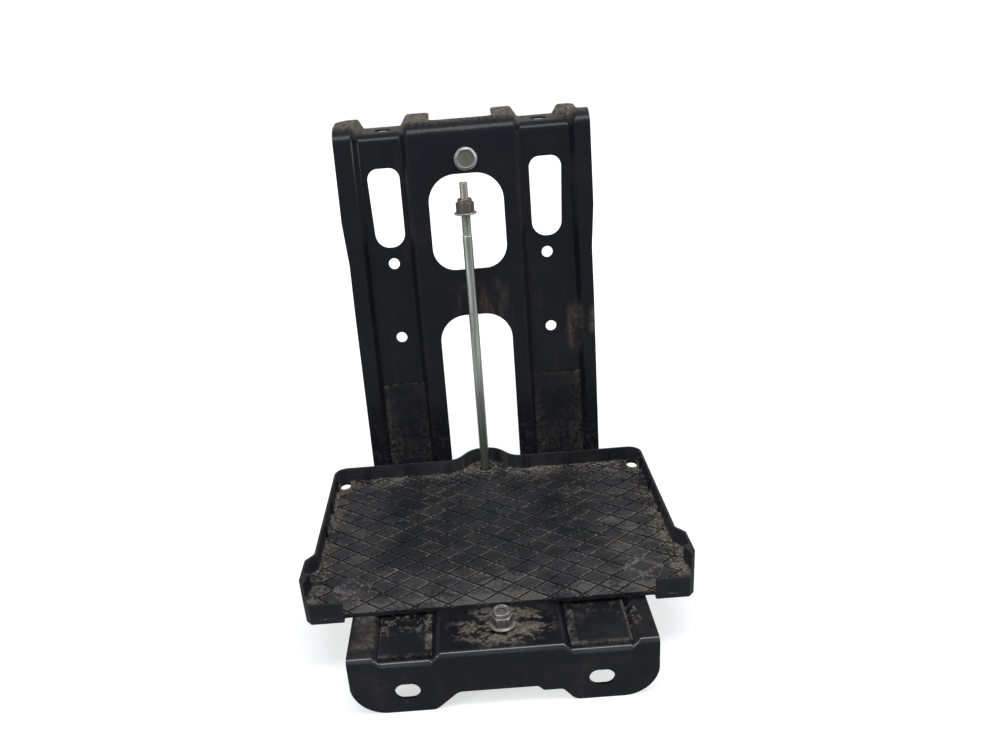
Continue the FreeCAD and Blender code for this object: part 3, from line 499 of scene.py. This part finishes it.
def tray_zones(at, face_z):
    """Adds to a surface the zones that several masks share."""
    at.up = face_z.ramp(0.4, 0.9)
    at.floor = at.z.ramp(*FLOOR_Z)
    at.pad_top = at.z.ramp(*PAD_Z) * at.floor
    under_battery = at.y.ramp(*BATTERY_FRONT_Y) * at.y.ramp(*BATTERY_BACK_Y)
    at.rubbed = at.x.size().ramp(*BATTERY_X) * under_battery
    at.near_back = at.y.ramp(*BACK_WALL_Y) * 1.35


def tray_grit(at):
    """Coarse grit along the side walls and the back, and in the ears, more of it on the right."""
    side_gap = TRAY_HALF_WIDTH - (at.x - TRAY_SHIFT).size() + (100.0 - at.y).ramp(0.0, 8.0) * 4.0
    in_ear = at.x.size().ramp(*EAR_X) * at.y.ramp(*EAR_Y)
    heavy_right = at.x.ramp(60.0, 120.0) * 0.45 + 0.55
    corners = (side_gap.ramp(17.0, 3.0) + at.near_back * 0.8 + in_ear).clamp() * heavy_right
    lumps = (at.cloud * 0.6 + at.grain * 0.5 + at.fine * 0.2).ramp(0.54, 0.76)
    return at.floor * at.up * corners * lumps


def tray_film(at):
    """Thin dust on the floor, a smeared patch on its right, and more dust on its front rows."""
    lying = at.up * at.floor
    lumps = (at.cloud * 0.4 + at.smear * 0.35 + at.grain * 0.25).ramp(0.36, 0.66)
    film = lying * (1 - at.rubbed * 0.85) * lumps * 0.50
    smears = lying * at.x.ramp(*SMEAR_X) * at.y.between(*SMEAR_Y, 25.0)
    smears = smears * at.smear.ramp(0.54, 0.72) * 0.35
    front = at.pad_top * at.up * at.y.ramp(*FRONT_ROWS_Y)
    front = front * (at.cloud * 0.8 + at.grain * 0.5).ramp(0.50, 0.78) * 0.85
    return film + smears + front


def wall_dust(at):
    """Dust on the walls' upper edge and down their sides."""
    rim = at.z.ramp(*RIM_Z) * at.up * at.grain.ramp(0.45, 0.65) * 0.30
    return rim + (1 - at.up) * (at.cloud * 0.6 + at.grain * 0.5).ramp(0.52, 0.78) * 0.16


print("grit lies up to", TRAY_HALF_WIDTH, "mm from the middle")


# %% Dust that follows the diamonds and the discs
DIAMOND_X, DIAMOND_Y = 23.8, 17.8
DIAMOND_START = 117.7
RIB_X, RIB_Y = (134.0, 130.0), (226.0, 230.0)
ROD_RING_SQUARED = (66.0, 112.0)


def diamond_grid(finish, at):
    """Distance to the nearest groove, and one chance value for each diamond."""
    rise = DIAMOND_Y / DIAMOND_X
    square_on = DIAMOND_Y * math.cos(math.atan(rise))
    lines = [(at.y - at.x * (rise * way) - DIAMOND_START) / DIAMOND_Y + 0.5 for way in (1.0, -1.0)]
    gaps = [((line + 0.5).fraction() - 0.5).size() * square_on for line in lines]
    return gaps[0].smallest(gaps[1]), finish.cell(*lines)


def diamond_dust(at, own_tone):
    """Dust in the grooves, on single diamonds, and over the rows next to the back wall."""
    in_groove = (1 - at.pad_top) * at.floor * at.up
    in_groove = in_groove * (at.grain * 0.6 + at.cloud * 0.5).ramp(0.50, 0.75) * 0.45
    on_pad = at.pad_top * at.up * own_tone.ramp(0.5, 1.0)
    on_pad = on_pad * (at.smear * 0.5 + at.grain * 0.6).ramp(0.46, 0.68)
    on_pad = on_pad * (at.x.ramp(30.0, 110.0) * 0.35 + 0.55) * (1 - at.rubbed * 0.5)
    back_rows = at.near_back.clamp() * at.floor * at.up
    back_rows = back_rows * (at.grain * 0.6 + at.cloud * 0.4).ramp(0.42, 0.60) * 0.28
    return in_groove + on_pad + back_rows


def disc_ring(at):
    """The line round the bare disc on each side."""
    from_left = squared(at.x - TRAY_SHIFT + DISC_X, at.y - DISC_Y)
    from_right = squared(at.x - TRAY_SHIFT - DISC_X, at.y - DISC_Y)
    return from_left.smallest(from_right).between(DISC_RIM - 34.0, DISC_RIM - 4.0, 12.0)


def dust_and_painted_highlights(at, face_x, to_groove, ring):
    """Tan dust round the rod's ring, painted highlights on the diamonds' rims and the rib sides, and tan
    dust with a painted highlight on the discs' line.
    """
    lumps = at.grain * 0.6 + at.fine * 0.4
    # A painted highlight along each diamond's rim, next to its groove.
    edge_highlights = at.pad_top * to_groove.ramp(2.2, 1.1)
    edge_highlights = edge_highlights * (at.grain * 0.6 + at.cloud * 0.5).ramp(0.44, 0.66)
    # Tan dust and a painted highlight on the line round each disc.
    ring_dust_and_highlight = ring * at.floor * at.up * lumps.ramp(0.36, 0.56)
    # A painted highlight on the sides of the back wall's ribs.
    rib_highlights = face_x.size().ramp(0.6, 0.9) * at.y.ramp(*RIB_Y) * at.x.size().ramp(*RIB_X)
    collar = squared(at.x - ROD_X, at.y - ROD_Y).between(*ROD_RING_SQUARED, 14.0)
    collar = collar * at.up * lumps.ramp(0.38, 0.56)
    return (edge_highlights * 0.62 + ring_dust_and_highlight * 0.7 + rib_highlights * 0.45 + collar * 0.6).clamp()


print("diamonds of", DIAMOND_X, "by", DIAMOND_Y, "mm")


# %% The tray's finish
PLASTIC = (0.0125, 0.0126, 0.0152)
PLASTIC_GREY = (0.022, 0.0215, 0.0245)
PLASTIC_RUBBED = (0.0085, 0.0092, 0.0120)
PLASTIC_SPECK = (0.060, 0.058, 0.058)
GREY_DUST = (0.080, 0.077, 0.075)
# These tan colours are the grit's dust, and also the colour of the painted highlights on the tray.
TAN_DUST_AND_HIGHLIGHT = (0.085, 0.072, 0.058)
PALE_TAN_DUST_AND_HIGHLIGHT = (0.235, 0.200, 0.155)


def worn_plastic(finish, at):
    """The plastic's own colour: darker where it is rubbed, with grey specks."""
    base = finish.mix(at.cloud.ramp(0.3, 0.7), PLASTIC, PLASTIC_GREY)
    base = finish.mix(at.rubbed * at.pad_top * 0.6, base, PLASTIC_RUBBED)
    speck = finish.noise(at.where, 1.5, 3.0, 0.7).ramp(0.54, 0.72) * at.up
    return finish.mix(speck * 0.45, base, PLASTIC_SPECK)


def tray_plastic():
    finish = Finish("black_plastic", IOR=1.47, Specular_IOR_Level=0.15)
    at = Surface(finish, cloud=(30.0, 5.0), grain=(2.4, 4.0), fine=(0.7, 2.0),
                 smear=(12.0, 5.0, 0.55, (0.6, 1.4, 1.0)))
    face_x, _, face_z = finish.facing()
    tray_zones(at, face_z)
    to_groove, own_tone = diamond_grid(finish, at)
    ring = disc_ring(at)
    grit = tray_grit(at)
    highlights_and_dust = dust_and_painted_highlights(at, face_x, to_groove, ring)
    dust = grit * 0.95 + tray_film(at) + wall_dust(at) + diamond_dust(at, own_tone)
    # From here the dust mask also carries the painted highlights of the tray's marks.
    dust = (dust + highlights_and_dust).clamp()
    tan_dust_and_highlight = finish.mix((at.grain * 0.7 + at.fine * 0.3).ramp(0.38, 0.62), TAN_DUST_AND_HIGHLIGHT, PALE_TAN_DUST_AND_HIGHLIGHT)
    tone = finish.mix((grit + highlights_and_dust * 0.8).clamp(), GREY_DUST, tan_dust_and_highlight)
    height = at.fine * 0.03 + at.grain * 0.03 + grit * (at.grain * 0.35 + at.fine * 0.15) + ring * 0.35
    finish.set(
        Base_Color=finish.mix(dust, worn_plastic(finish, at), tone),
        Roughness=0.50 + at.cloud * 0.16 + dust * 0.30 - at.rubbed * at.pad_top * 0.10,
        Normal=finish.bump(height, 0.9),
    )
    return finish.material


paint("tray", tray_plastic())


# %% [markdown]
# Zinc, bare and rusty
#
# The rod, bolt and nuts are zinc plated. Plating goes dull and greenish, then lets rust through in
# brown blotches, more on the nut of the rod than anywhere. Each shade could be built by hand as its
# own material. They differ only in colour, rust and shine, so one function makes them all.

# %% Metal finishes
RUST = (0.055, 0.032, 0.022)
RUST_PALE = (0.17, 0.13, 0.105)


def plated(name, clean, dull, rusted, rough, metal):
    """Plating between a clean and a dull colour; rusted says how much of it the rust has taken."""
    finish = Finish(name, IOR=1.5)
    where = finish.place()
    cloud = finish.noise(where, 7.0, 5.0)
    grain = finish.noise(where, 1.3, 4.0)
    drawn = finish.noise(where, 4.0, 4.0, stretch=(1.6, 1.6, 0.07))
    rust = (cloud * 0.65 + grain * 0.45).ramp(0.72 - rusted * 0.5, 0.95 - rusted * 0.5)
    base = finish.mix(drawn.ramp(0.3, 0.7), clean, dull)
    brown = finish.mix(grain.ramp(0.35, 0.65), RUST, RUST_PALE)
    finish.set(
        Base_Color=finish.mix(rust, base, brown),
        Metallic=(metal - rust * 0.75).clamp(),
        Roughness=rough + grain * 0.12 + rust * 0.25,
        Normal=finish.bump(grain * 0.03 + drawn * 0.02 + rust * grain * 0.12, 0.8),
    )
    return finish.material


ZINC = plated("zinc_rod", (0.52, 0.54, 0.50), (0.22, 0.24, 0.22),
              rusted=0.10, rough=0.27, metal=1.0)
BRIGHT = plated("bright_ring", (0.80, 0.82, 0.78), (0.66, 0.68, 0.64),
                rusted=0.0, rough=0.30, metal=0.9)
THREAD = plated("dull_thread", (0.42, 0.44, 0.38), (0.26, 0.28, 0.24),
                rusted=0.12, rough=0.42, metal=0.7)
RUSTY = plated("rusty_nut", (0.20, 0.187, 0.178), (0.095, 0.088, 0.084),
               rusted=0.34, rough=0.38, metal=0.8)
# Also laid on the rod nut's flange, where its paler colour is a painted highlight on the rim.
STUB_AND_FLANGE_HIGHLIGHT = plated("grey_stub_and_flange_highlight", (0.42, 0.39, 0.34), (0.20, 0.18, 0.155),
              rusted=0.26, rough=0.42, metal=0.8)
BOLT = plated("grey_bolt", (0.33, 0.34, 0.345), (0.17, 0.172, 0.178),
              rusted=0.12, rough=0.38, metal=0.85)
DISH = plated("stained_dish", (0.135, 0.132, 0.112), (0.085, 0.083, 0.070),
              rusted=0.30, rough=0.55, metal=0.5)
LOCKED = plated("grey_lock_nut", (0.27, 0.262, 0.25), (0.14, 0.134, 0.128),
                rusted=0.22, rough=0.36, metal=0.9)
NYLON = plated("nylon_ring", (0.13, 0.128, 0.120), (0.09, 0.088, 0.082),
               rusted=0.12, rough=0.50, metal=0.0)
for node, material in (("front_stud", LOCKED), ("front_washer", RUSTY), ("top_nut", BOLT)):
    paint(node, material)


# %% [markdown]
# Turned and threaded shapes
#
# Nuts, bolts and rods are made on a lathe, and a Screw modifier could spin a profile too. It can't
# hold a radius inside six flats, so one helper spins the profile itself: a hexagon is the same spin
# with its corners cut back, which gives the curved corners of a real nut for nothing. A thread is a
# spin whose radius rises and falls with height and turns with the angle.

# %% Helpers that make a mesh
SHARP_DEG = 32.0


def mesh_piece(name, vertices, faces, materials, indices):
    """A smooth-shaded object from vertices in millimetres, sharp where it turns a corner."""
    mesh = bpy.data.meshes.new(name)
    mesh.from_pydata([tuple(c * MM for c in v) for v in vertices], [], faces)
    for material in materials:
        mesh.materials.append(material)
    mesh.polygons.foreach_set("material_index", indices)
    built = bmesh.new()
    built.from_mesh(mesh)
    bmesh.ops.recalc_face_normals(built, faces=built.faces)
    built.to_mesh(mesh)
    built.free()
    mesh.shade_smooth()
    mesh.set_sharp_from_angle(angle=math.radians(SHARP_DEG))
    piece = bpy.data.objects.new(name, mesh)
    bpy.context.scene.collection.objects.link(piece)
    return piece


def stitch(rings, closed=False):
    """Faces that join equal rings of vertices, back to the first ring or with a cap at each end."""
    count = len(rings[0])
    pairs = list(zip(rings, rings[1:]))
    if closed:
        pairs.append((rings[-1], rings[0]))
    faces = []
    for low, high in pairs:
        for i in range(count):
            after = (i + 1) % count
            faces.append((low[i], low[after], high[after], high[i]))
    if not closed:
        faces += [tuple(reversed(rings[0])), tuple(rings[-1])]
    return faces


def circle(steps):
    """The angles of equal steps once round."""
    return [2 * math.pi * i / steps for i in range(steps)]


def arc_steps(from_deg, to_deg, count):
    """The angles of equal steps along an arc, in radians."""
    return [math.radians(from_deg + (to_deg - from_deg) * i / count) for i in range(count + 1)]


print("meshes turn sharp corners from", SHARP_DEG, "degrees")


# %% Helpers that turn a profile or a thread
def round_point(axis, radius, angle, height):
    """A point at a distance from an upright axis."""
    return axis[0] + radius * math.cos(angle), axis[1] + radius * math.sin(angle), height


def spin(profile, axis, flats=None, steps=72):
    """Vertices and rings of a profile of (radius, height, hexagonal) spun round a vertical axis."""
    vertices, rings = [], []
    for radius, height, hexagonal in profile:
        ring = []
        for angle in circle(steps):
            reach = radius
            if hexagonal:
                off_flat = angle % (math.pi / 3) - math.pi / 6
                reach = min(radius, flats / 2 / math.cos(off_flat))
            ring.append(len(vertices))
            vertices.append(round_point(axis, reach, angle, height))
        rings.append(ring)
    return vertices, rings


def thread(axis, core, crest, pitch, low, high, steps):
    """Vertices and rings of a screw thread between two heights, which fades out at both ends."""
    rings_per_turn = 8
    vertices, rings = [], []
    count = int((high - low) / pitch * rings_per_turn)
    for k in range(count + 1):
        height = low + (high - low) * k / count
        fade = max(min(1.0, (height - low) / pitch, (high - height) / pitch), 0.0)
        ring = []
        for i, angle in enumerate(circle(steps)):
            turn = (height / pitch - i / steps) % 1.0
            ridge = 1 - abs(2 * turn - 1)
            radius = core + (crest - core) * min(1.0, ridge * 1.25) * fade
            ring.append(len(vertices))
            vertices.append(round_point(axis, radius, angle, height))
        rings.append(ring)
    return vertices, rings


def centre_of(node):
    """Middle of a node in plan, and its lowest and highest point, in millimetres."""
    low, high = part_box(node)
    middle = ((low[0] + high[0]) / 2 / MM, (low[1] + high[1]) / 2 / MM)
    return middle, low[2] / MM, high[2] / MM


print("a hexagon's corners reach", round(1 / math.cos(math.pi / 6), 3), "times as far as its flats")


# %% [markdown]
# The hook rod
#
# The rod is smooth from its hook up to a bright ring, threaded from there to the nut, and ends in a
# thinner stub. A curve with a round bevel could make the smooth length, but not the thread, so all
# three are rings of vertices. The piece replaces the plain solid, which has the same axis and hook.

# %% The smooth bar with its hook
ROD_RADIUS = 4.0
STUB_RADIUS = 3.35
HOOK_RADIUS = 8.0
HOOK_TIP = 14.0
ROD_STEPS = 40


def hook_path(axis_y, low_z, thread_low):
    """Stations of (y, z, turn in degrees, radius) from the hook's tip, round its bend, to the thread."""
    bend_z = low_z + HOOK_RADIUS + ROD_RADIUS
    tip_y, tip_z = axis_y - 2 * HOOK_RADIUS, bend_z + HOOK_TIP
    edge = 0.8
    path = [(tip_y, tip_z, 90.0, ROD_RADIUS - edge), (tip_y, tip_z - edge, 90.0, ROD_RADIUS)]
    bend_steps = 24
    for i in range(bend_steps + 1):
        turned = 180 * i / bend_steps
        angle = math.radians(180 + turned)
        y = axis_y - HOOK_RADIUS + HOOK_RADIUS * math.cos(angle)
        path.append((y, bend_z + HOOK_RADIUS * math.sin(angle), 90.0 + turned, ROD_RADIUS))
    bright_ring = ((2.6, 0.0), (1.3, 0.0), (1.2, 0.15), (0.2, 0.15), (0.0, -0.45))
    for below, wider in bright_ring:
        path.append((axis_y, thread_low - below, 270.0, ROD_RADIUS + wider))
    return path


def bar_along(path, axis_x):
    """Vertices and rings of a round bar along the stations of a path."""
    vertices, rings = [], []
    for y, z, turned, radius in path:
        out = math.radians(turned - 90.0)
        ring = []
        for angle in circle(ROD_STEPS):
            side = radius * math.sin(angle)
            ring.append(len(vertices))
            x = axis_x + radius * math.cos(angle)
            vertices.append((x, y + side * math.cos(out), z + side * math.sin(out)))
        rings.append(ring)
    return vertices, rings


print("the hook bends round a radius of", HOOK_RADIUS, "mm")


# %% The rod as one piece
THREAD_PITCH = 1.25
THREAD_LENGTH = 15.5
THREAD_CORE = ROD_RADIUS - 0.72
THREAD_CREST = ROD_RADIUS - 0.03
NUT_LIFT = 1.5
BRIGHT_BANDS = 3


class MeshParts:
    """Vertices and faces of several closed shapes, with the finish of each face."""

    def __init__(self):
        self.vertices = []
        self.faces = []
        self.indices = []

    def add(self, shape, finish_index):
        """Adds a shape's vertices and rings, all in one finish."""
        vertices, rings = shape
        start = len(self.vertices)
        faces = stitch([[i + start for i in ring] for ring in rings])
        self.vertices += vertices
        self.faces += faces
        self.indices += [finish_index] * len(faces)


def hook_rod():
    low, high = (tuple(c / MM for c in corner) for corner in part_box("hook_rod"))
    axis = ((low[0] + high[0]) / 2, high[1] - ROD_RADIUS)
    nut_low = centre_of("rod_nut")[1]
    thread_low = nut_low - THREAD_LENGTH
    finishes = [ZINC, THREAD, STUB_AND_FLANGE_HIGHLIGHT, BRIGHT]
    parts = MeshParts()
    parts.add(bar_along(hook_path(axis[1], low[2], thread_low), axis[0]), finishes.index(ZINC))
    before_caps = len(parts.faces) - 2
    for i in range(before_caps - BRIGHT_BANDS * ROD_STEPS, before_caps):
        parts.indices[i] = finishes.index(BRIGHT)
    heights = (thread_low - 0.3, nut_low + NUT_LIFT + 2.0)
    screw = thread(axis, THREAD_CORE, THREAD_CREST, THREAD_PITCH, *heights, ROD_STEPS)
    parts.add(screw, finishes.index(THREAD))
    stub = [(STUB_RADIUS, nut_low + 2.0, False), (STUB_RADIUS, high[2] - 1.0, False),
            (STUB_RADIUS - 0.25, high[2] - 0.4, False), (STUB_RADIUS - 0.8, high[2], False)]
    parts.add(spin(stub, axis, steps=ROD_STEPS), finishes.index(STUB_AND_FLANGE_HIGHLIGHT))
    piece = mesh_piece("rod", parts.vertices, parts.faces, finishes, parts.indices)
    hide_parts("hook_rod")
    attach(piece, "root")
    print("rod:", len(parts.faces), "faces, thread from", round(thread_low, 1), "mm up to the nut")


hook_rod()


# %% [markdown]
# Nuts and bolt
#
# The nut on the rod is a flange nut with a collar, rusty all over, and its paler flange is a painted
# highlight on the rim.
# The one at the front is a lock nut: its collar holds a nylon ring, and the stud ends below it. The bolt
# at the top has a dished head and lies square on the leaning panel, so it is spun upright and then turned
# as the solid is. Bevels on the solids would round the hexagons' edges, but not give them the curved
# lines that a lathe leaves.

# %% Sections of the nuts
BORE = 4.05


def nut_profile(base, top, flats, flange_radius, flange_height, collar_radius, collar_height):
    """A flange nut in section, from its seat up to the top of its rounded collar."""
    corner = flats / math.sqrt(3) * 0.985
    rim = flange_height * 0.42
    rim_middle = flange_radius - rim
    hex_low = base + flange_height + 0.2
    hex_top = top - collar_height
    edge = 0.8
    shape = [(BORE + 0.5, base, False), (rim_middle, base, False)]
    for angle in arc_steps(15, 165, 8):
        shape.append((rim_middle + rim * math.sin(angle), base + rim - rim * math.cos(angle), False))
    shape.append((corner + 0.25, hex_low - 0.25, False))
    shape.append((corner + 0.02, hex_low, True))
    shape.append((corner, hex_low + 0.3, True))
    for lift in (i / 5 for i in range(6)):
        shape.append((corner - 1.25 * lift ** 1.6, hex_top - 1.1 + 1.1 * lift, True))
    shape += [(collar_radius, hex_top + 0.05, False), (collar_radius, top - edge, False)]
    for angle in arc_steps(20, 90, 4):
        radius = collar_radius - edge + edge * math.cos(angle)
        shape.append((radius, top - edge + edge * math.sin(angle), False))
    return shape


def plain_bore(base, top):
    """The section's way back down through a plain threaded hole."""
    return [(BORE + 0.9, top, False), (BORE, top - 0.6, False), (BORE, base + 0.5, False)]


def locked_bore(base, top, lip, grip, grip_low):
    """The same with a rolled lip that holds a nylon ring, which narrows the hole."""
    return [(lip + 0.3, top - 0.1, False), (lip, top - 0.6, False), (lip - 0.05, top - 0.65, False),
            (grip + 0.2, top - 0.6, False), (grip, top - 0.8, False), (grip, grip_low, False),
            (BORE, grip_low - 0.05, False), (BORE, base + 0.5, False)]


def turned_piece(name, node, shape, materials, second_bands, closed=True):
    """The mesh of a spun shape in place of a node, with some bands in the second material."""
    vertices, rings = shape
    faces = stitch(rings, closed)
    steps = len(rings[0])
    indices = [int(i // steps in second_bands) for i in range(len(faces))]
    piece = mesh_piece(name, vertices, faces, materials, indices)
    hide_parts(node)
    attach(piece, "root")
    print(name, "replaces", node)


# %% The two nuts
ROD_NUT = {"flats": 13.2, "flange_radius": 9.25, "flange_height": 2.1,
           "collar_radius": 5.9, "collar_height": 2.6}
LOCK_NUT = {"flats": 13.9, "flange_radius": 9.25, "flange_height": 1.8,
            "collar_radius": 6.2, "collar_height": 2.8}
LIP_RADIUS = 4.9
GRIP_RADIUS = 3.35


def rod_nut():
    axis, low, high = centre_of("rod_nut")
    low += NUT_LIFT
    section = nut_profile(low, high, **ROD_NUT) + plain_bore(low, high)
    # The flange is in the paler stub metal as a painted highlight on its rim.
    flange_highlight_bands = range(1, 10)
    shape = spin(section, axis, ROD_NUT["flats"])
    turned_piece("flange_nut", "rod_nut", shape, [RUSTY, STUB_AND_FLANGE_HIGHLIGHT], flange_highlight_bands)


def lock_nut():
    """The front nut, whose nylon ring starts just above the end of its stud."""
    axis, low, high = centre_of("front_nut")
    stud_top = centre_of("front_stud")[2]
    section = nut_profile(low, high, **LOCK_NUT)
    nylon_start = len(section) + 2
    section += locked_bore(low, high, LIP_RADIUS, GRIP_RADIUS, stud_top + 0.15)
    nylon_bands = range(nylon_start, nylon_start + 3)
    shape = spin(section, axis, LOCK_NUT["flats"])
    turned_piece("lock_nut", "front_nut", shape, [LOCKED, NYLON], nylon_bands)


rod_nut()
lock_nut()


# %% The bolt
BOLT_SEAT = (2.0, 266.515, 306.7)
PANEL_LEAN = 7.9
BOLT_FLATS = 14.6
BOLT_CORNER = 8.0
BOLT_RIM, BOLT_RIM_ROUND = 9.1, 0.55
HEAD_SHOULDER = 5.8
DISH_RADIUS, DISH_HEIGHT = 5.9, 5.4


def bolt_section():
    """The bolt in section from the end of its shank to the middle of its dish, and the dish's start."""
    section = [(ROD_RADIUS - 0.6, -15.8, False), (ROD_RADIUS, -15.2, False), (ROD_RADIUS, 0.0, False)]
    section.append((9.3, 0.02, False))
    for angle in arc_steps(20, 150, 6):
        rim = BOLT_RIM_ROUND * math.sin(angle)
        section.append((BOLT_RIM + rim, 0.6 - BOLT_RIM_ROUND * math.cos(angle), False))
    section += [(8.5, 1.5, False), (8.1, 1.85, False), (BOLT_CORNER, 2.1, True)]
    for i in range(6):
        section.append((BOLT_CORNER - 0.55 * (i / 5) ** 1.6, HEAD_SHOULDER + 0.65 * i / 5, True))
    section += [(7.15, 6.42, False), (6.85, 6.2, False), (6.6, 5.6, False)]
    dish_start = len(section) - 2
    section.append((DISH_RADIUS, DISH_HEIGHT + 0.02, False))
    section += [(3.0, DISH_HEIGHT, False), (0.4, DISH_HEIGHT, False)]
    return section, dish_start


def top_bolt():
    """The bolt's seat is on the ridge between the channels, where the panel leans back."""
    section, dish_start = bolt_section()
    vertices, rings = spin(section, (0.0, 0.0), BOLT_FLATS)
    turn = Matrix.Translation(BOLT_SEAT) @ Matrix.Rotation(math.radians(90.0 - PANEL_LEAN), 4, "X")
    shape = [tuple(turn @ Vector(v)) for v in vertices], rings
    dish_bands = range(dish_start, len(section))
    turned_piece("dished_bolt", "top_bolt", shape, [BOLT, DISH], dish_bands, closed=False)


top_bolt()


# %% [markdown]
# Softened edges
#
# Moulded edges are never knife sharp, and it is their small rounds that catch the light. The rounds
# could be in the solid, but a bevel modifier on top gives them without moving a face, once coplanar
# triangles are merged. The pressing's bends are round already, so only the tray gets it.

# %% A bevel on the tray
EDGE_ROUND = 0.30
EDGE_FROM_DEG = 50.0


def soften(node):
    piece = PIECES[node]
    weld = piece.modifiers.new("weld", "WELD")
    weld.merge_threshold = 0.00001
    flat = piece.modifiers.new("merge_flats", "DECIMATE")
    flat.decimate_type = "DISSOLVE"
    flat.angle_limit = math.radians(1.0)
    edge = piece.modifiers.new("soft_edges", "BEVEL")
    edge.width = EDGE_ROUND * MM
    edge.segments = 2
    edge.limit_method = "ANGLE"
    edge.angle_limit = math.radians(EDGE_FROM_DEG)
    edge.harden_normals = False
    edge.use_clamp_overlap = True
    print("softened", node, "by", EDGE_ROUND, "mm")


soften("tray")


# %% [markdown]
# Studio
#
# The real part is black, so it is seen mostly by what it reflects. A long narrow panel above gives
# the highlights on the bends, one from each side fills the flanks, and a white floor and world give a
# clean picture. A single large lamp would be simpler, but it lays a grey veil over black paint.

# %% Lamps
LAMP_COLOUR = (0.93, 0.965, 1.0)
SIDE_PANEL = (0.4, 0.9)
PART_MIDDLE = (0.0, 0.15, 0.15)


def area_lamp(name, place, aim, panel, power):
    """A soft rectangular lamp that looks at a point, with places and sizes in metres."""
    lamp = bpy.data.lights.new(name, "AREA")
    lamp.color = LAMP_COLOUR
    lamp.shape = "RECTANGLE"
    lamp.size, lamp.size_y = panel
    lamp.energy = power
    piece = bpy.data.objects.new(name, lamp)
    piece.location = place
    piece.rotation_euler = (Vector(aim) - Vector(place)).to_track_quat("-Z", "Y").to_euler()
    bpy.context.scene.collection.objects.link(piece)
    print(name, "gives", power, "W")


area_lamp("lamp_above", place=(0.1, -0.25, 1.45), aim=(0.0, 0.12, 0.12), panel=(1.3, 0.4), power=13.0)
area_lamp("lamp_left", place=(-1.2, -0.7, 0.7), aim=PART_MIDDLE, panel=SIDE_PANEL, power=9.0)
area_lamp("lamp_right", place=(1.3, -0.2, 0.8), aim=PART_MIDDLE, panel=SIDE_PANEL, power=8.0)


# %% White world and floor
FLOOR_REACH = 4.0
FLOOR_GAP = 0.0005


def seen_rays(shading, in_metal):
    """1 for rays from the camera, and a share for those that metal or glass sends on."""
    kinds = ("Is Camera Ray", "Is Glossy Ray", "Is Transmission Ray")
    seen, glossy, through = shading.node("ShaderNodeLightPath", {}, out=kinds)
    return seen.largest(glossy.largest(through) * in_metal)


def studio_world():
    """A world that looks white, and lights the part with less than it shows."""
    world = bpy.data.worlds.new("studio")
    bpy.context.scene.world = world
    sky = Shading(world, "Background")
    sky.set(Color=(0.98, 0.99, 1.0), Strength=seen_rays(sky, 0.35) * 0.70 + 0.34)


def studio_floor():
    """A card just below the part that turns whiter with the distance."""
    ground = solid_box[0][2] - FLOOR_GAP
    corners = [(-1, -1), (1, -1), (1, 1), (-1, 1)]
    mesh = bpy.data.meshes.new("studio_floor")
    mesh.from_pydata([(FLOOR_REACH * x, FLOOR_REACH * y, ground) for x, y in corners], [], [(0, 1, 2, 3)])
    card = Finish("studio_card", Roughness=0.9, Base_Color=(0.55, 0.55, 0.55))
    card.set(Emission_Color=(1.0, 1.0, 1.0))
    distance = card.node("ShaderNodeVectorMath", {"operation": "LENGTH"}, card.place(), out=1)
    whiter = 0.62 + distance.ramp(300.0, 1400.0) * 0.5
    card.set(Emission_Strength=seen_rays(card, 0.1) * whiter)
    mesh.materials.append(card.material)
    floor = bpy.data.objects.new("studio_floor", mesh)
    bpy.context.scene.collection.objects.link(floor)
    return floor


studio_world()
floor = studio_floor()
print("floor at", round(solid_box[0][2] / MM, 1), "mm")


# %% [markdown]
# Camera
#
# The camera stands where the photographer stood. It could be placed by eye, but its place, turn and
# focal length were worked out from the pressing's straight edges, so the picture can be laid over the
# photograph.

# %% Camera
CAMERA_PLACE = (-0.00209, -0.41372, 0.38888)
HEADING, TILT, ROLL = (math.radians(a) for a in (-0.6, 21.98, -4.73))
FOCAL_LENGTH = 28.8
SIDE_SHIFT = 0.03027


def stand_camera():
    """The camera of the photograph: its place, heading, tilt and roll, and a small sideways shift."""
    forward = Vector((math.sin(HEADING), math.cos(HEADING), 0.0))
    ahead = forward * math.cos(TILT) - Vector((0.0, 0.0, math.sin(TILT)))
    level = Vector((math.cos(HEADING), -math.sin(HEADING), 0.0))
    above = level.cross(ahead)
    right = level * math.cos(ROLL) + above * math.sin(ROLL)
    up = above * math.cos(ROLL) - level * math.sin(ROLL)
    data = bpy.data.cameras.new("photo_camera")
    data.lens = FOCAL_LENGTH
    data.sensor_width = 36.0
    data.shift_x = SIDE_SHIFT
    data.clip_end = 20.0
    camera = bpy.data.objects.new("photo_camera", data)
    turn = Matrix((right, up, -ahead)).transposed()
    camera.matrix_world = Matrix.Translation(Vector(CAMERA_PLACE)) @ turn.to_4x4()
    bpy.context.scene.collection.objects.link(camera)
    bpy.context.scene.camera = camera
    print("camera at", CAMERA_PLACE, "m, lens", FOCAL_LENGTH, "mm")


stand_camera()
bpy.context.scene.view_settings.view_transform = "Standard"

# %% Measure and finish
print("solid", [[round(c, 4) for c in v] for v in solid_box])
